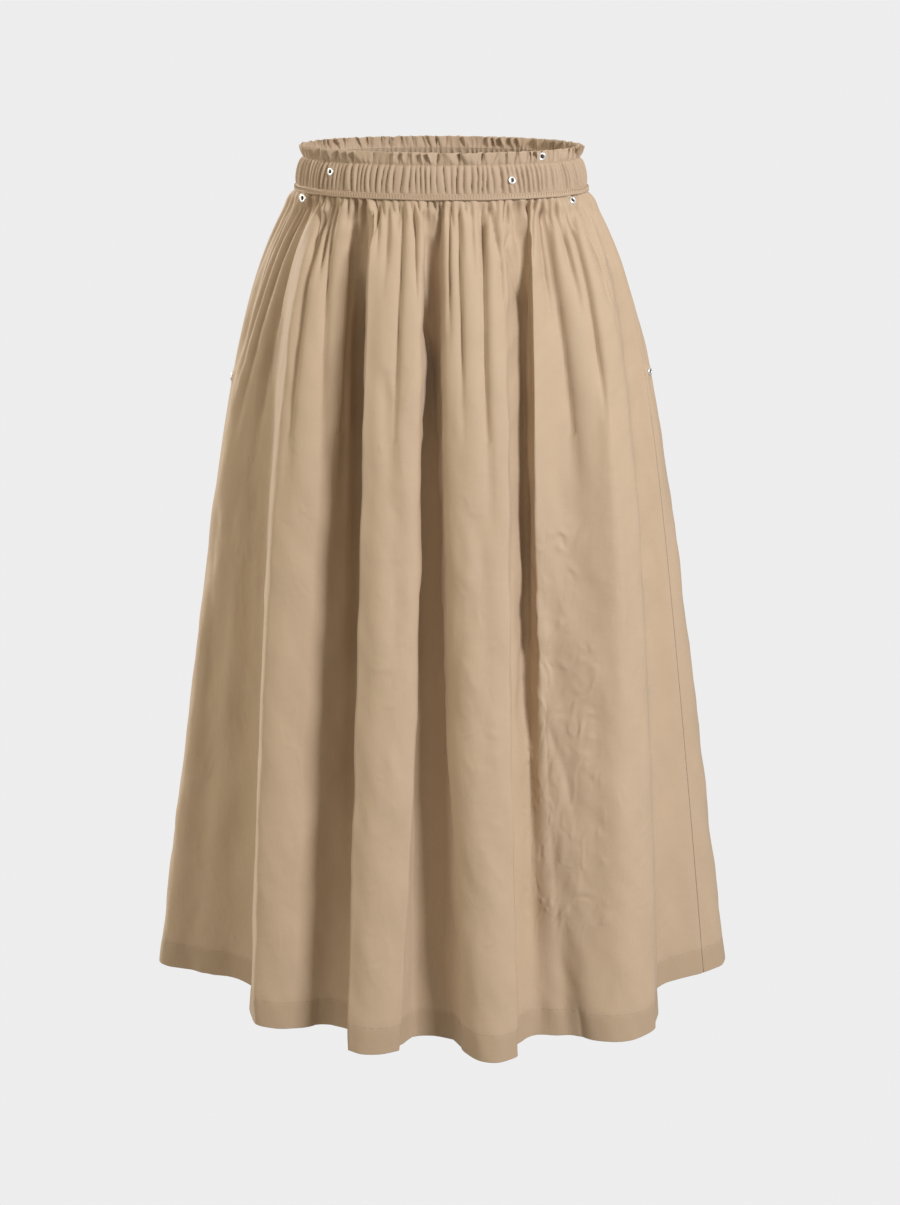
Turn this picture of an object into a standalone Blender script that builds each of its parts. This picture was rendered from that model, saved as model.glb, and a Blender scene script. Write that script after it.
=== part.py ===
"""A-line midi skirt with a gathered elastic waist, built from the pieces that are sewn together.

The skirt is worn: it hangs open and hollow from its waistband. Front is -Y, up is +Z, and the
origin is the middle of the elastic band, where the wearer holds the skirt up.
"""

import math
from collections import namedtuple

import bmesh
import bpy
import numpy as np
from mathutils import Vector
from mathutils.bvhtree import BVHTree

MM = 0.001

# Heights of the skirt panels and of the hem's turn-up, and the gap between two sewn pieces
SKIRT_TOP = -17.9 * MM
HEM = -777.5 * MM
SKIRT_DROP = SKIRT_TOP - HEM
HEM_TURN = 25.0 * MM
SEAM_GAP = 0.3 * MM

# A column of cloth lies this many degrees beside each side seam
SEAM_EDGE = 0.4

# Waist ring, as an oval: half its width, and its depth as a share of its width
WAIST_HALF = 133.2 * MM
OVAL = 0.688

# Walls: one layer of cloth, the turned-up hem, and the tape; and the angle that shows as a crease
CLOTH = 1.2 * MM
HEM_CLOTH = 2.0 * MM
TAPE_CLOTH = 1.8 * MM
CREASE = math.radians(35)

# Side seams, in degrees round the waist from centre front towards +X
LEFT_SEAM = -88.0
RIGHT_SEAM = 86.0

# How the cloth spreads below the waist: the gathers spring out by SPRING of the whole spread
# within about SPRING_REACH of the drop, and the rest widens evenly down to the hem
SPRING = 0.286
SPRING_REACH = 0.108
MID_DROP = 0.40

# Gathers: the band has two columns of cloth to each gather, and four to each ruffle of its
# frill, so there are half as many ruffles. A skirt panel has four columns to each gather.
BAND_GATHERS = 100
PANEL_GATHERS = 24
TAPE_COLUMNS = 84
COLUMN_WIDTH = 17.0 * MM

# Unevenness: how far a gather strays in place, as a share of its pitch, and in height
STRAY_PLACE = 0.22
STRAY_HEIGHT = 0.35

# A skirt panel's gathers crowd and spread in slow waves across it
Crowding = namedtuple("Crowding", "waves size")
CROWDINGS = [Crowding(3, 0.010), Crowding(7, 0.006)]

BandRow = namedtuple("BandRow", "height half_width wall gather ruffle lift")
BAND_ROWS = [  # millimetres, from the frill's edge down
    BandRow(22.0, 123.6, 1.2, 0.0, 2.3, 0.8),
    BandRow(17.0, 123.3, 1.2, 0.2, 1.5, 0.2),
    BandRow(11.8, 123.4, 1.6, 0.8, 0.3, 0.0),
    BandRow(5.5, 126.0, 2.4, 1.4, 0.0, 0.0),
    BandRow(-3.5, 128.2, 2.4, 1.4, 0.0, 0.0),
    BandRow(-11.8, 129.8, 2.0, 1.0, 0.0, 0.0),
]

TapeRow = namedtuple("TapeRow", "height half_width")
TAPE_ROWS = [TapeRow(-12.3, 131.4), TapeRow(-17.3, 132.6)]

GatherRow = namedtuple("GatherRow", "per_panel height peak reach")
GATHER_ROWS = [  # the second row is pairs of gathers that have run together
    GatherRow(PANEL_GATHERS, 2.7 * MM, 0.038, 0.050),
    GatherRow(PANEL_GATHERS / 2, 3.0 * MM, 0.110, 0.080),
]

# Fold lines run from the waist to the hem. Each has its place round the waist in degrees and its
# place at the hem in millimetres. Halfway down it bows towards +X, and a valley sinks inwards.
FoldLine = namedtuple("FoldLine", "name waist hem_x hem_y bow sink")
FRONT_FOLDS = [
    FoldLine("left seam", -88.0, -282, 8, 0, 0),
    FoldLine("left strip edge", -74.0, -279, -20, 2, 0),
    FoldLine("left strip", -62.0, -240, -40, 0, 4),
    FoldLine("left strip foot", -56.0, -197, -51, -7, 7),
    FoldLine("left valley", -53.0, -181, -63, -10, 9),
    FoldLine("pleat 1 flank", -50.5, -171, -122, -7, 3),
    FoldLine("pleat 1 edge", -48.0, -162, -146, -8, 0),
    FoldLine("pleat 1 left", -44.0, -145, -153, -6, -1),
    FoldLine("pleat 1 crown", -38.0, -118, -150, -1, 2),
    FoldLine("valley 1 left", -31.0, -97, -143, 6, 12),
    FoldLine("valley 1 right", -27.0, -77, -151, 4, 19),
    FoldLine("pleat 2 left edge", -23.5, -68, -188, 5, 0),
    FoldLine("pleat 2 left", -19.0, -56, -197, 6, -2),
    FoldLine("pleat 2 crown", -12.0, -38, -196, 8, -2),
    FoldLine("pleat 2 right edge", -5.0, -22, -182, 8, 0),
    FoldLine("valley 2 left", -2.0, -9, -163, 2, 10),
    FoldLine("valley 2", 0.0, 6, -154, -1, 20),
    FoldLine("valley 2 right", 2.5, 22, -161, -5, 12),
    FoldLine("pleat 3 left edge", 7.0, 40, -190, -9, 0),
    FoldLine("pleat 3 left", 13.0, 54, -202, -6, -2),
    FoldLine("pleat 3 crown", 20.0, 70, -203, -3, -1),
    FoldLine("pleat 3 right edge", 26.5, 82, -194, -2, 0),
    FoldLine("valley 3 left", 30.0, 86, -166, -3, 6),
    FoldLine("valley 3", 34.0, 97, -148, -8, 14),
    FoldLine("pleat 4 left", 39.0, 124, -146, -16, -5),
    FoldLine("pleat 4 dip", 48.0, 156, -153, -7, 3),
    FoldLine("pleat 4 edge", 59.0, 190, -148, 9, -3),
    FoldLine("pleat 4 turn", 66.0, 206, -132, 13, -2),
    FoldLine("pleat 4 flank", 73.0, 213, -95, 9, 0),
    FoldLine("right valley", 78.5, 215, -32, 7, 6),
    FoldLine("right strip", 82.5, 234, -14, 4, 2),
]
BACK_FOLDS = [
    FoldLine("right seam", 86.0, 258, 3, 4, 0),
    FoldLine("back pleat 1 edge", 91.0, 276, 23, 2, 0),
    FoldLine("back pleat 1 turn", 96.0, 279, 49, 0, 0),
    FoldLine("back pleat 1 flank", 102.0, 259, 74, 0, -2),
    FoldLine("back valley 1", 108.0, 229, 87, 0, -10),
    FoldLine("back pleat 2 flank", 114.0, 208, 108, 0, -6),
    FoldLine("back pleat 2 edge", 119.0, 203, 140, 2, 0),
    FoldLine("back pleat 2 crown", 126.0, 182, 163, 0, 2),
    FoldLine("back pleat 2 fall", 133.0, 154, 163, 0, 0),
    FoldLine("back valley 2", 139.0, 131, 149, 2, -14),
    FoldLine("back pleat 3 flank", 145.0, 107, 162, 3, -10),
    FoldLine("back pleat 3 edge", 150.0, 97, 190, 2, 0),
    FoldLine("back pleat 3 crown", 158.0, 68, 202, 0, 2),
    FoldLine("back pleat 3 fall", 166.0, 42, 186, -3, 0),
    FoldLine("back valley 3", 173.0, 21, 157, 0, -18),
    FoldLine("back pleat 4 flank", 180.0, -4, 167, 3, -12),
    FoldLine("back pleat 4 edge", 185.0, -19, 194, 3, 0),
    FoldLine("back pleat 4 crown", 193.0, -48, 204, 0, 1),
    FoldLine("back pleat 4 fall", 201.0, -73, 184, -3, 0),
    FoldLine("back valley 4", 208.0, -93, 153, -2, -16),
    FoldLine("back pleat 5 flank", 215.0, -119, 152, 0, -8),
    FoldLine("back pleat 5 crown", 222.0, -144, 172, 0, 2),
    FoldLine("back pleat 5 edge", 230.0, -174, 166, 0, 0),
    FoldLine("back pleat 5 fall", 237.0, -191, 134, 0, -2),
    FoldLine("back valley 5", 244.0, -205, 99, 3, -9),
    FoldLine("back pleat 6 flank", 251.0, -232, 84, 2, -5),
    FoldLine("back pleat 6 crown", 258.0, -262, 69, 0, 0),
    FoldLine("back pleat 6 edge", 265.0, -280, 38, 0, 0),
]

# Heights of the skirt's rows, as shares of its drop. The upper rows keep a column at each
# crest and trough of the gathers.
UPPER_DROPS = [0.0, 0.022, 0.055, 0.100, 0.160]
LOWER_DROPS = [0.245, 0.36, 0.50, 0.66, 0.82]
HEM_STEP = 1.5 * MM

# Metal eyelets
EYELET_OUTER = 3.6 * MM
EYELET_HOLE = 1.3 * MM
EYELET_RISE = 0.9 * MM
EYELET_SIDES = 14
ProfilePoint = namedtuple("ProfilePoint", "out rise")
EYELET_PROFILE = [  # shares of the way from the hole to the outside, and of the rise
    ProfilePoint(0.30, 1.00),
    ProfilePoint(0.65, 1.00),
    ProfilePoint(1.00, 0.45),
    ProfilePoint(1.00, 0.00),
    ProfilePoint(0.00, 0.00),
    ProfilePoint(0.00, 0.55),
]
SEAT_SAMPLES = 36
SEAT_REACH = 20.0 * MM
Eyelet = namedtuple("Eyelet", "name carrier turn height")
EYELETS = [  # turn is the bearing in plan from centre front, in degrees; height in millimetres
    Eyelet("eyelet_band_left", "waistband", -55.7, 3.2),
    Eyelet("eyelet_band_right", "waistband", 42.2, -1.6),
    Eyelet("eyelet_frill_right", "waistband", 58.9, 17.6),
    Eyelet("eyelet_pocket_left_top", "front_panel", -70.2, -22.0),
    Eyelet("eyelet_pocket_right_top", "front_panel", 69.8, -22.0),
    Eyelet("eyelet_pocket_left_foot", "front_panel", -88.0, -190.0),
    Eyelet("eyelet_pocket_right_foot", "back_panel", 91.2, -181.0),
]

COTTON = ("khaki_cotton", (0.440, 0.325, 0.215, 1.0), 0.78, 0.0)
NICKEL = ("bright_nickel", (0.720, 0.710, 0.690, 1.0), 0.24, 1.0)


def clear_scene():
    for old in list(bpy.data.objects):
        bpy.data.objects.remove(old, do_unlink=True)


def make_material(name, colour, roughness, metallic):
    material = bpy.data.materials.new(name)
    material.use_nodes = True
    shader = material.node_tree.nodes["Principled BSDF"]
    shader.inputs["Base Color"].default_value = colour
    shader.inputs["Roughness"].default_value = roughness
    shader.inputs["Metallic"].default_value = metallic
    return material


def oval_point(degrees, half_width):
    turn = math.radians(degrees)
    return Vector((half_width * math.sin(turn), -OVAL * half_width * math.cos(turn)))


def oval_out(degrees):
    """Unit vector that points out of the waist oval."""
    turn = math.radians(degrees)
    return Vector((OVAL * math.sin(turn), -math.cos(turn))).normalized()


def uneven(index, seed):
    """A fixed irregular number from -1 to 1 for each index."""
    return 2.0 * (math.sin(index * 12.9898 + seed * 78.233) * 43758.5453 % 1.0) - 1.0


def spread(drop):
    """Share of the way from the waist oval to the hem line, at a share of the drop."""
    return SPRING * (1.0 - math.exp(-drop / SPRING_REACH)) + (1.0 - SPRING) * drop


class ClosedLine:
    """A smooth closed curve through the fold lines, measured along the hem."""

    def __init__(self, folds):
        self.hem = np.array([(f.hem_x, f.hem_y) for f in folds]) * MM
        self.bow = np.array([(f.bow, f.sink) for f in folds]) * MM
        self.waist = np.array([[f.waist] for f in folds])
        self.spans = np.linalg.norm(np.roll(self.hem, -1, axis=0) - self.hem, axis=1)
        self.knots = np.concatenate([[0.0], np.cumsum(self.spans)])
        samples = np.linspace(0.0, self.knots[-1], 4001)
        turns = [self.value(self.waist, s, 360.0, True)[0] for s in samples]
        self.samples, self.turns = samples, np.array(turns)

    def value(self, rows, along, wrap=0.0, monotone=False):
        """Cubic through the rows; wrap is what a whole turn adds to them."""
        count = len(rows)
        i = min(int(np.searchsorted(self.knots, along, side="right")) - 1, count - 1)
        slopes = []
        for k in (i - 1, i, i + 1):
            step = rows[(k + 1) % count] - rows[k % count] + (wrap if k % count == count - 1 else 0.0)
            slopes.append(step / self.spans[k % count])
        before, span, after = self.spans[i - 1], self.spans[i], self.spans[(i + 1) % count]
        if monotone:
            start = 2.0 * slopes[0] * slopes[1] / (slopes[0] + slopes[1])
            end = 2.0 * slopes[1] * slopes[2] / (slopes[1] + slopes[2])
        else:
            start = (slopes[0] * span + slopes[1] * before) / (before + span)
            end = (slopes[1] * after + slopes[2] * span) / (span + after)
        t = (along - self.knots[i]) / span
        here, there = rows[i], rows[i] + slopes[1] * span
        return (
            here * (1 + 2 * t) * (1 - t) ** 2
            + start * span * t * (1 - t) ** 2
            + there * t * t * (3 - 2 * t)
            - end * span * t * t * (1 - t)
        )

    def along(self, degrees):
        start = self.turns[0]
        return float(np.interp((degrees - start) % 360.0 + start, self.turns, self.samples))

    def degrees(self, along):
        return float(np.interp(along, self.samples, self.turns))

    def hem_and_bow(self, degrees):
        along = self.along(degrees)
        return Vector(self.value(self.hem, along)), Vector(self.value(self.bow, along))


SKIRT_LINE = ClosedLine(FRONT_FOLDS + BACK_FOLDS)
MID_SHARE = spread(MID_DROP)


class Panel:
    """One skirt panel between two side seams, given by their places round the waist."""

    def __init__(self, name, start, end, seed):
        self.name, self.start, self.end, self.seed = name, start, end, seed

    def warp(self, u):
        """Evenly counted gathers, unevenly spaced: u and the result run from 0 to 1."""
        return u + sum(c.size * math.sin(2 * math.pi * c.waves * u) for c in CROWDINGS)

    def turn(self, u):
        return self.start + (self.end - self.start) * self.warp(u)

    def unwarp(self, degrees):
        want = (degrees - self.start) / (self.end - self.start)
        low, high = 0.0, 1.0
        for _ in range(40):
            middle = (low + high) / 2
            low, high = (middle, high) if self.warp(middle) < want else (low, middle)
        return (low + high) / 2

    def gather(self, degrees, drop):
        u = self.unwarp(degrees)
        height = 0.0
        for row in GATHER_ROWS:
            fade = math.exp(-(((drop - row.peak) / row.reach) ** 2))
            phase = 2 * math.pi * (5 * u + 0.13 * self.seed + row.per_panel)
            vary = 1.0 + STRAY_HEIGHT * math.sin(phase)
            height += row.height * fade * vary * math.sin(2 * math.pi * row.per_panel * u)
        return height

    def point(self, degrees, drop):
        share = spread(drop)
        waist = oval_point(degrees, WAIST_HALF)
        hem, bow = SKIRT_LINE.hem_and_bow(degrees)
        swell = share * (1.0 - share) / (MID_SHARE * (1.0 - MID_SHARE))
        plan = waist.lerp(hem, share) + bow * swell
        plan += oval_out(degrees) * self.gather(degrees, drop)
        return Vector((plan.x, plan.y, SKIRT_TOP - drop * SKIRT_DROP))

    def upper_turns(self):
        count = 4 * PANEL_GATHERS
        turns = [self.turn((i + 0.5) / count) for i in range(count)]
        return self.with_seam_edges(turns)

    def lower_turns(self):
        """A column on each fold line, and as many between them as keep to the column's width."""
        turns = []
        for fold, span in zip(FRONT_FOLDS + BACK_FOLDS, SKIRT_LINE.spans):
            start = SKIRT_LINE.along(fold.waist)
            count = math.ceil(span / COLUMN_WIDTH)
            turns += [SKIRT_LINE.degrees(start + span * i / count) for i in range(count)]
        margin = 2 * SEAM_EDGE
        return self.with_seam_edges(
            [turn for turn in turns if self.start + margin < turn < self.end - margin]
        )

    def with_seam_edges(self, turns):
        """Adds each seam and a column close beside it, so that the panels' edges lie parallel."""
        edges = [self.start, self.start + SEAM_EDGE]
        return edges + turns + [self.end - SEAM_EDGE, self.end]

    def row(self, turns, drop):
        """One row of points, drawn in at each seam by half the seam's gap."""
        points = [self.point(turn, drop) for turn in turns]
        for end, neighbour in ((0, 1), (-1, -2)):
            inwards = (points[neighbour] - points[end]).normalized()
            points[end] = points[end] + inwards * SEAM_GAP / 2
        return list(zip(turns, points))

    def rows(self):
        upper, lower = self.upper_turns(), self.lower_turns()
        fold = 1.0 - HEM_TURN / SKIRT_DROP
        rows = [(self.row(upper, drop), CLOTH) for drop in UPPER_DROPS]
        rows += [(self.row(lower, drop), CLOTH) for drop in LOWER_DROPS]
        rows.append((self.row(lower, fold - HEM_STEP / SKIRT_DROP), CLOTH))
        rows.append((self.row(lower, fold), HEM_CLOTH))
        rows.append((self.row(lower, 1.0), HEM_CLOTH))
        return rows


def zip_faces(upper, lower, first_upper, first_lower, faces):
    """Faces between two rows whose columns need not match, zipped by their turn."""
    i = j = 0
    while i < len(upper) - 1 or j < len(lower) - 1:
        next_upper = upper[i + 1][0] if i < len(upper) - 1 else math.inf
        next_lower = lower[j + 1][0] if j < len(lower) - 1 else math.inf
        if abs(next_upper - next_lower) < 1e-6:
            a, b = first_upper + i, first_lower + j
            faces.append((a, b, b + 1, a + 1))
            i, j = i + 1, j + 1
        elif next_upper < next_lower:
            faces.append((first_upper + i, first_lower + j, first_upper + i + 1))
            i += 1
        else:
            faces.append((first_upper + i, first_lower + j, first_lower + j + 1))
            j += 1


def lofted_wall(name, rows, closed, material, collection):
    """Open surface through rows of (turn, point), thickened inwards by each row's own wall."""
    thickest = max(wall for _, wall in rows)
    vertices, faces, walls = [], [], []
    for row, wall in rows:
        vertices += [point for _, point in row]
        walls += [wall / thickest] * len(row)
    first = 0
    for (upper, _), (lower, _) in zip(rows, rows[1:]):
        zip_faces(upper, lower, first, first + len(upper), faces)
        first += len(upper)
    mesh = bpy.data.meshes.new(name)
    mesh.from_pydata(vertices, [], faces)
    obj = bpy.data.objects.new(name, mesh)
    collection.objects.link(obj)
    group = obj.vertex_groups.new(name="wall")
    for index, weight in enumerate(walls):
        group.add([index], weight, "REPLACE")
    if closed:
        close_ring(obj)
    solid = obj.modifiers.new("wall", "SOLIDIFY")
    solid.thickness = thickest
    solid.offset = -1.0
    solid.use_even_offset = True
    solid.use_quality_normals = True
    solid.vertex_group = "wall"
    solid.thickness_vertex_group = 0.0
    obj.data.shade_smooth()
    obj.data.set_sharp_from_angle(angle=CREASE)
    obj.data.materials.append(material)
    return obj


def close_ring(obj):
    """Joins the last column of a ring to its first."""
    shape = bmesh.new()
    shape.from_mesh(obj.data)
    bmesh.ops.remove_doubles(shape, verts=shape.verts, dist=0.01 * MM)
    shape.to_mesh(obj.data)
    shape.free()


def band_rows():
    """Elastic casing with its frill: gathers below the stitch line, ruffles above it."""
    columns = 2 * BAND_GATHERS
    rows = []
    for row in BAND_ROWS:
        points = []
        for i in range(columns + 1):
            k = i % columns
            turn = 360.0 * (i + STRAY_PLACE * uneven(k, 1) * (k > 0)) / columns
            gather = row.gather * (1.0 + STRAY_HEIGHT * uneven(k, 2)) * (1 if k % 2 else -1)
            wave = (1, 0, -1, 0)[k % 4] * (1.0 + STRAY_HEIGHT * uneven(k // 4, 3))
            out = (gather + row.ruffle * wave) * MM
            plan = oval_point(turn, row.half_width * MM) + oval_out(turn) * out
            points.append((i, Vector((plan.x, plan.y, (row.height - row.lift * abs(wave)) * MM))))
        rows.append((points, row.wall * MM))
    return rows


def tape_rows():
    rows = []
    for row in TAPE_ROWS:
        points = []
        for i in range(TAPE_COLUMNS + 1):
            plan = oval_point(360.0 * i / TAPE_COLUMNS, row.half_width * MM)
            points.append((i, Vector((plan.x, plan.y, row.height * MM))))
        rows.append((points, TAPE_CLOTH))
    return rows


def eyelet_mesh():
    """Turned ring: flat back, domed front, round hole. Its axis is +Z and its back is at 0."""
    width = EYELET_OUTER - EYELET_HOLE
    profile = [(EYELET_HOLE + p.out * width, p.rise * EYELET_RISE) for p in EYELET_PROFILE]
    mesh = bpy.data.meshes.new("eyelet")
    edges = [(i, (i + 1) % len(profile)) for i in range(len(profile))]
    mesh.from_pydata([(x, 0.0, z) for x, z in profile], edges, [])
    return mesh


def disc_hits(surface, hit, out):
    """Points of the surface under an eyelet's back, ring by ring from the outside in."""
    side = out.cross(Vector((0, 0, 1))).normalized()
    up = side.cross(out)
    hits = []
    for radius in (EYELET_OUTER, 0.7 * EYELET_OUTER, EYELET_HOLE):
        for k in range(SEAT_SAMPLES):
            angle = 2 * math.pi * k / SEAT_SAMPLES
            start = hit + (side * math.cos(angle) + up * math.sin(angle)) * radius + out * SEAT_REACH
            found = surface.ray_cast(start, -out, 2 * SEAT_REACH)[0]
            hits.append(found or start - out * SEAT_REACH)
    return hits


def seat(carrier, turn, height):
    """Place and outward direction of an eyelet's back, just clear of its carrier's highest points."""
    depsgraph = bpy.context.evaluated_depsgraph_get()
    surface = BVHTree.FromObject(carrier, depsgraph)
    bearing = math.radians(turn)
    out = Vector((math.sin(bearing), -math.cos(bearing), 0.0))
    centre = Vector((0.0, 0.0, height))
    hit = surface.ray_cast(centre + out, -out)[0]
    for _ in range(2):
        rim = disc_hits(surface, hit, out)[:SEAT_SAMPLES]
        middle = sum(rim, Vector()) / len(rim)
        facing = Vector()
        for a, b in zip(rim, rim[1:] + rim[:1]):
            facing += (a - middle).cross(b - middle)
        facing.normalize()
        out = facing if facing.dot(out) > 0 else -facing
    rise = max((point - hit).dot(out) for point in disc_hits(surface, hit, out) + [hit])
    return hit + out * (rise + SEAM_GAP), out


def build():
    clear_scene()
    skirt = bpy.data.collections.new("a_line_midi_skirt")
    bpy.context.scene.collection.children.link(skirt)
    cotton, nickel = make_material(*COTTON), make_material(*NICKEL)

    pieces = {}
    for panel in (
        Panel("front_panel", LEFT_SEAM, RIGHT_SEAM, 1),
        Panel("back_panel", RIGHT_SEAM, LEFT_SEAM + 360.0, 2),
    ):
        pieces[panel.name] = lofted_wall(panel.name, panel.rows(), False, cotton, skirt)
    pieces["waistband"] = lofted_wall("waistband", band_rows(), True, cotton, skirt)
    pieces["waist_tape"] = lofted_wall("waist_tape", tape_rows(), True, cotton, skirt)

    ring = eyelet_mesh()
    ring.materials.append(nickel)
    for eyelet in EYELETS:
        place, out = seat(pieces[eyelet.carrier], eyelet.turn, eyelet.height * MM)
        obj = bpy.data.objects.new(eyelet.name, ring)
        skirt.objects.link(obj)
        obj.location = place
        obj.rotation_euler = out.to_track_quat("Z", "Y").to_euler()
        screw = obj.modifiers.new("turned", "SCREW")
        screw.steps = screw.render_steps = EYELET_SIDES
        screw.use_merge_vertices = True
        screw.merge_threshold = 0.01 * MM


build()
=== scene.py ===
"""Looks of a worn a-line midi skirt: gathered poplin panels, a frilled elastic band, a ribbed tape,
small nickel eyelets, the thread of its seams and a plain studio round it.

Everything is in metres in the part's own frame. Front is -Y, up is +Z, and the origin is the middle
of the elastic band. Bearings are in degrees round the waist from centre front towards +X.
"""

from __future__ import annotations

import logging
import math
from dataclasses import dataclass, field
from enum import Enum
from typing import NamedTuple

import bpy
import numpy as np
from mathutils import Matrix, Vector

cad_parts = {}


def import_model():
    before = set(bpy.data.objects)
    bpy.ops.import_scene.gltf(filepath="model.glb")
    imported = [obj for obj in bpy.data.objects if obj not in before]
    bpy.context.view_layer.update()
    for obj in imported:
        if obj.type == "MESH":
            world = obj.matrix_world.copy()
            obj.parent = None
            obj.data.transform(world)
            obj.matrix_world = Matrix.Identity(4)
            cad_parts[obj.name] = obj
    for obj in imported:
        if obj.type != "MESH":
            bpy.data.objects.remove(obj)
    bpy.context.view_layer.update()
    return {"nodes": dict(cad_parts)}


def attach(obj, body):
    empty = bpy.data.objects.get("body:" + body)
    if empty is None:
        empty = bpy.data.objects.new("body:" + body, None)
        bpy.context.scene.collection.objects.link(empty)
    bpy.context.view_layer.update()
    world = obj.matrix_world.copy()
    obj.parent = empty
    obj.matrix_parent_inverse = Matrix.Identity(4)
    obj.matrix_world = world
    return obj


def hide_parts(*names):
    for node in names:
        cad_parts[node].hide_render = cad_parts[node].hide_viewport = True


MM = 0.001
TAU = 2.0 * math.pi
PHOTO_HEIGHT = 1205
WAVE_BANDS = 20.0 / TAU  # bands to a unit in a wave texture of scale 1

Triple = tuple[float, float, float]
Colour = Triple
Socket = bpy.types.NodeSocket

log = logging.getLogger("skirt")


# node trees


def add_node(
    tree: bpy.types.NodeTree, kind: str, inputs: dict | None = None, **settings: str
) -> bpy.types.Node:
    """Adds a node to a tree.

    Args:
        tree: A material's tree or a repeat's.
        kind: The node's type.
        inputs: Its inputs by name or index, each with a constant or the socket that feeds it.
        settings: Its own properties, which are set before its inputs.

    Returns:
        The new node.
    """
    node = tree.nodes.new(kind)
    for name, value in settings.items():
        setattr(node, name, value)
    for name, value in (inputs or {}).items():
        if isinstance(value, Socket):
            tree.links.new(value, node.inputs[name])
        else:
            node.inputs[name].default_value = value
    return node


class Grain(NamedTuple):
    """How fine a noise texture is."""

    scale: float
    detail: float
    rough: float


class Surface:
    """A node material in the making, with the textures and bumps that the finishes share."""

    def __init__(self, name: str, constants: dict[str, float | tuple]) -> None:
        """Starts the material.

        Args:
            name: The material's name.
            constants: Values that are the same all over, by the shader's own sockets.
        """
        self.material = bpy.data.materials.new(name)
        self.material.use_nodes = True
        self.tree = self.material.node_tree
        self.shader = self.tree.nodes["Principled BSDF"]
        self.relief: Socket | None = None
        for socket, value in constants.items():
            self.shader.inputs[socket].default_value = value

    def place(self) -> Socket:
        """The piece's own coordinates."""
        return add_node(self.tree, "ShaderNodeTexCoord").outputs["Object"]

    def cut(self) -> Socket:
        """The piece's map of its flat cut."""
        return add_node(self.tree, "ShaderNodeUVMap", uv_map="cut").outputs["UV"]

    def attribute(self, name: str) -> Socket:
        """A value that the piece's points carry."""
        return add_node(self.tree, "ShaderNodeAttribute", attribute_name=name).outputs["Fac"]

    def stretched(self, vector: Socket, scale: Triple) -> Socket:
        """A coordinate, scaled differently along each axis."""
        inputs = {"Vector": vector, "Scale": scale}
        return add_node(self.tree, "ShaderNodeMapping", inputs).outputs["Vector"]

    def noise(self, vector: Socket, grain: Grain) -> Socket:
        """The value of a noise texture."""
        inputs = {"Vector": vector} | dict(zip(("Scale", "Detail", "Roughness"), grain))
        return add_node(self.tree, "ShaderNodeTexNoise", inputs).outputs["Fac"]

    def bands(self, vector: Socket, axis: str, pitch: float) -> Socket:
        """Even bands at a real pitch, across one axis of a map in metres."""
        inputs = {"Vector": vector, "Scale": 1.0 / WAVE_BANDS / pitch, "Distortion": 0.0}
        return add_node(self.tree, "ShaderNodeTexWave", inputs, bands_direction=axis).outputs["Fac"]

    def mixed(self, a: Socket, b: Socket, share: float) -> Socket:
        """Two values, mixed by a fixed share of the second."""
        inputs = {"Factor": share, "A": a, "B": b}
        return add_node(self.tree, "ShaderNodeMix", inputs).outputs["Result"]

    def ramp(
        self, value: Socket, low: Colour, high: Colour, ends: tuple[float, float] = (0.0, 1.0)
    ) -> Socket:
        """Turns a value into a colour between two others.

        Args:
            value: The value.
            low: The colour at the lower end.
            high: The colour at the upper end.
            ends: The values at both ends.

        Returns:
            The colour.
        """
        ramp = add_node(self.tree, "ShaderNodeValToRGB", {"Fac": value})
        for element, end, colour in zip(ramp.color_ramp.elements, ends, (low, high)):
            element.position = end
            element.color = (*colour, 1.0)
        return ramp.outputs["Color"]

    def bump(self, height: Socket, distance: float) -> None:
        """Raises a value as a bump of a real height, over the bumps made before.

        Args:
            height: The value.
            distance: The bump's height where the value is 1.
        """
        inputs = {"Strength": 1.0, "Distance": distance, "Height": height}
        if self.relief is not None:
            inputs["Normal"] = self.relief
        self.relief = add_node(self.tree, "ShaderNodeBump", inputs).outputs["Normal"]

    def finished(self, varied: dict[str, Socket]) -> bpy.types.Material:
        """Feeds the shader.

        Args:
            varied: What differs over the surface, by the shader's sockets.

        Returns:
            The finished material.
        """
        if self.relief is not None:
            varied = {**varied, "Normal": self.relief}
        for name, socket in varied.items():
            self.tree.links.new(socket, self.shader.inputs[name])
        return self.material


def shaded(colour: Colour, share: float) -> Colour:
    """A colour made darker."""
    return tuple(share * part for part in colour)


# finishes


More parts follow.
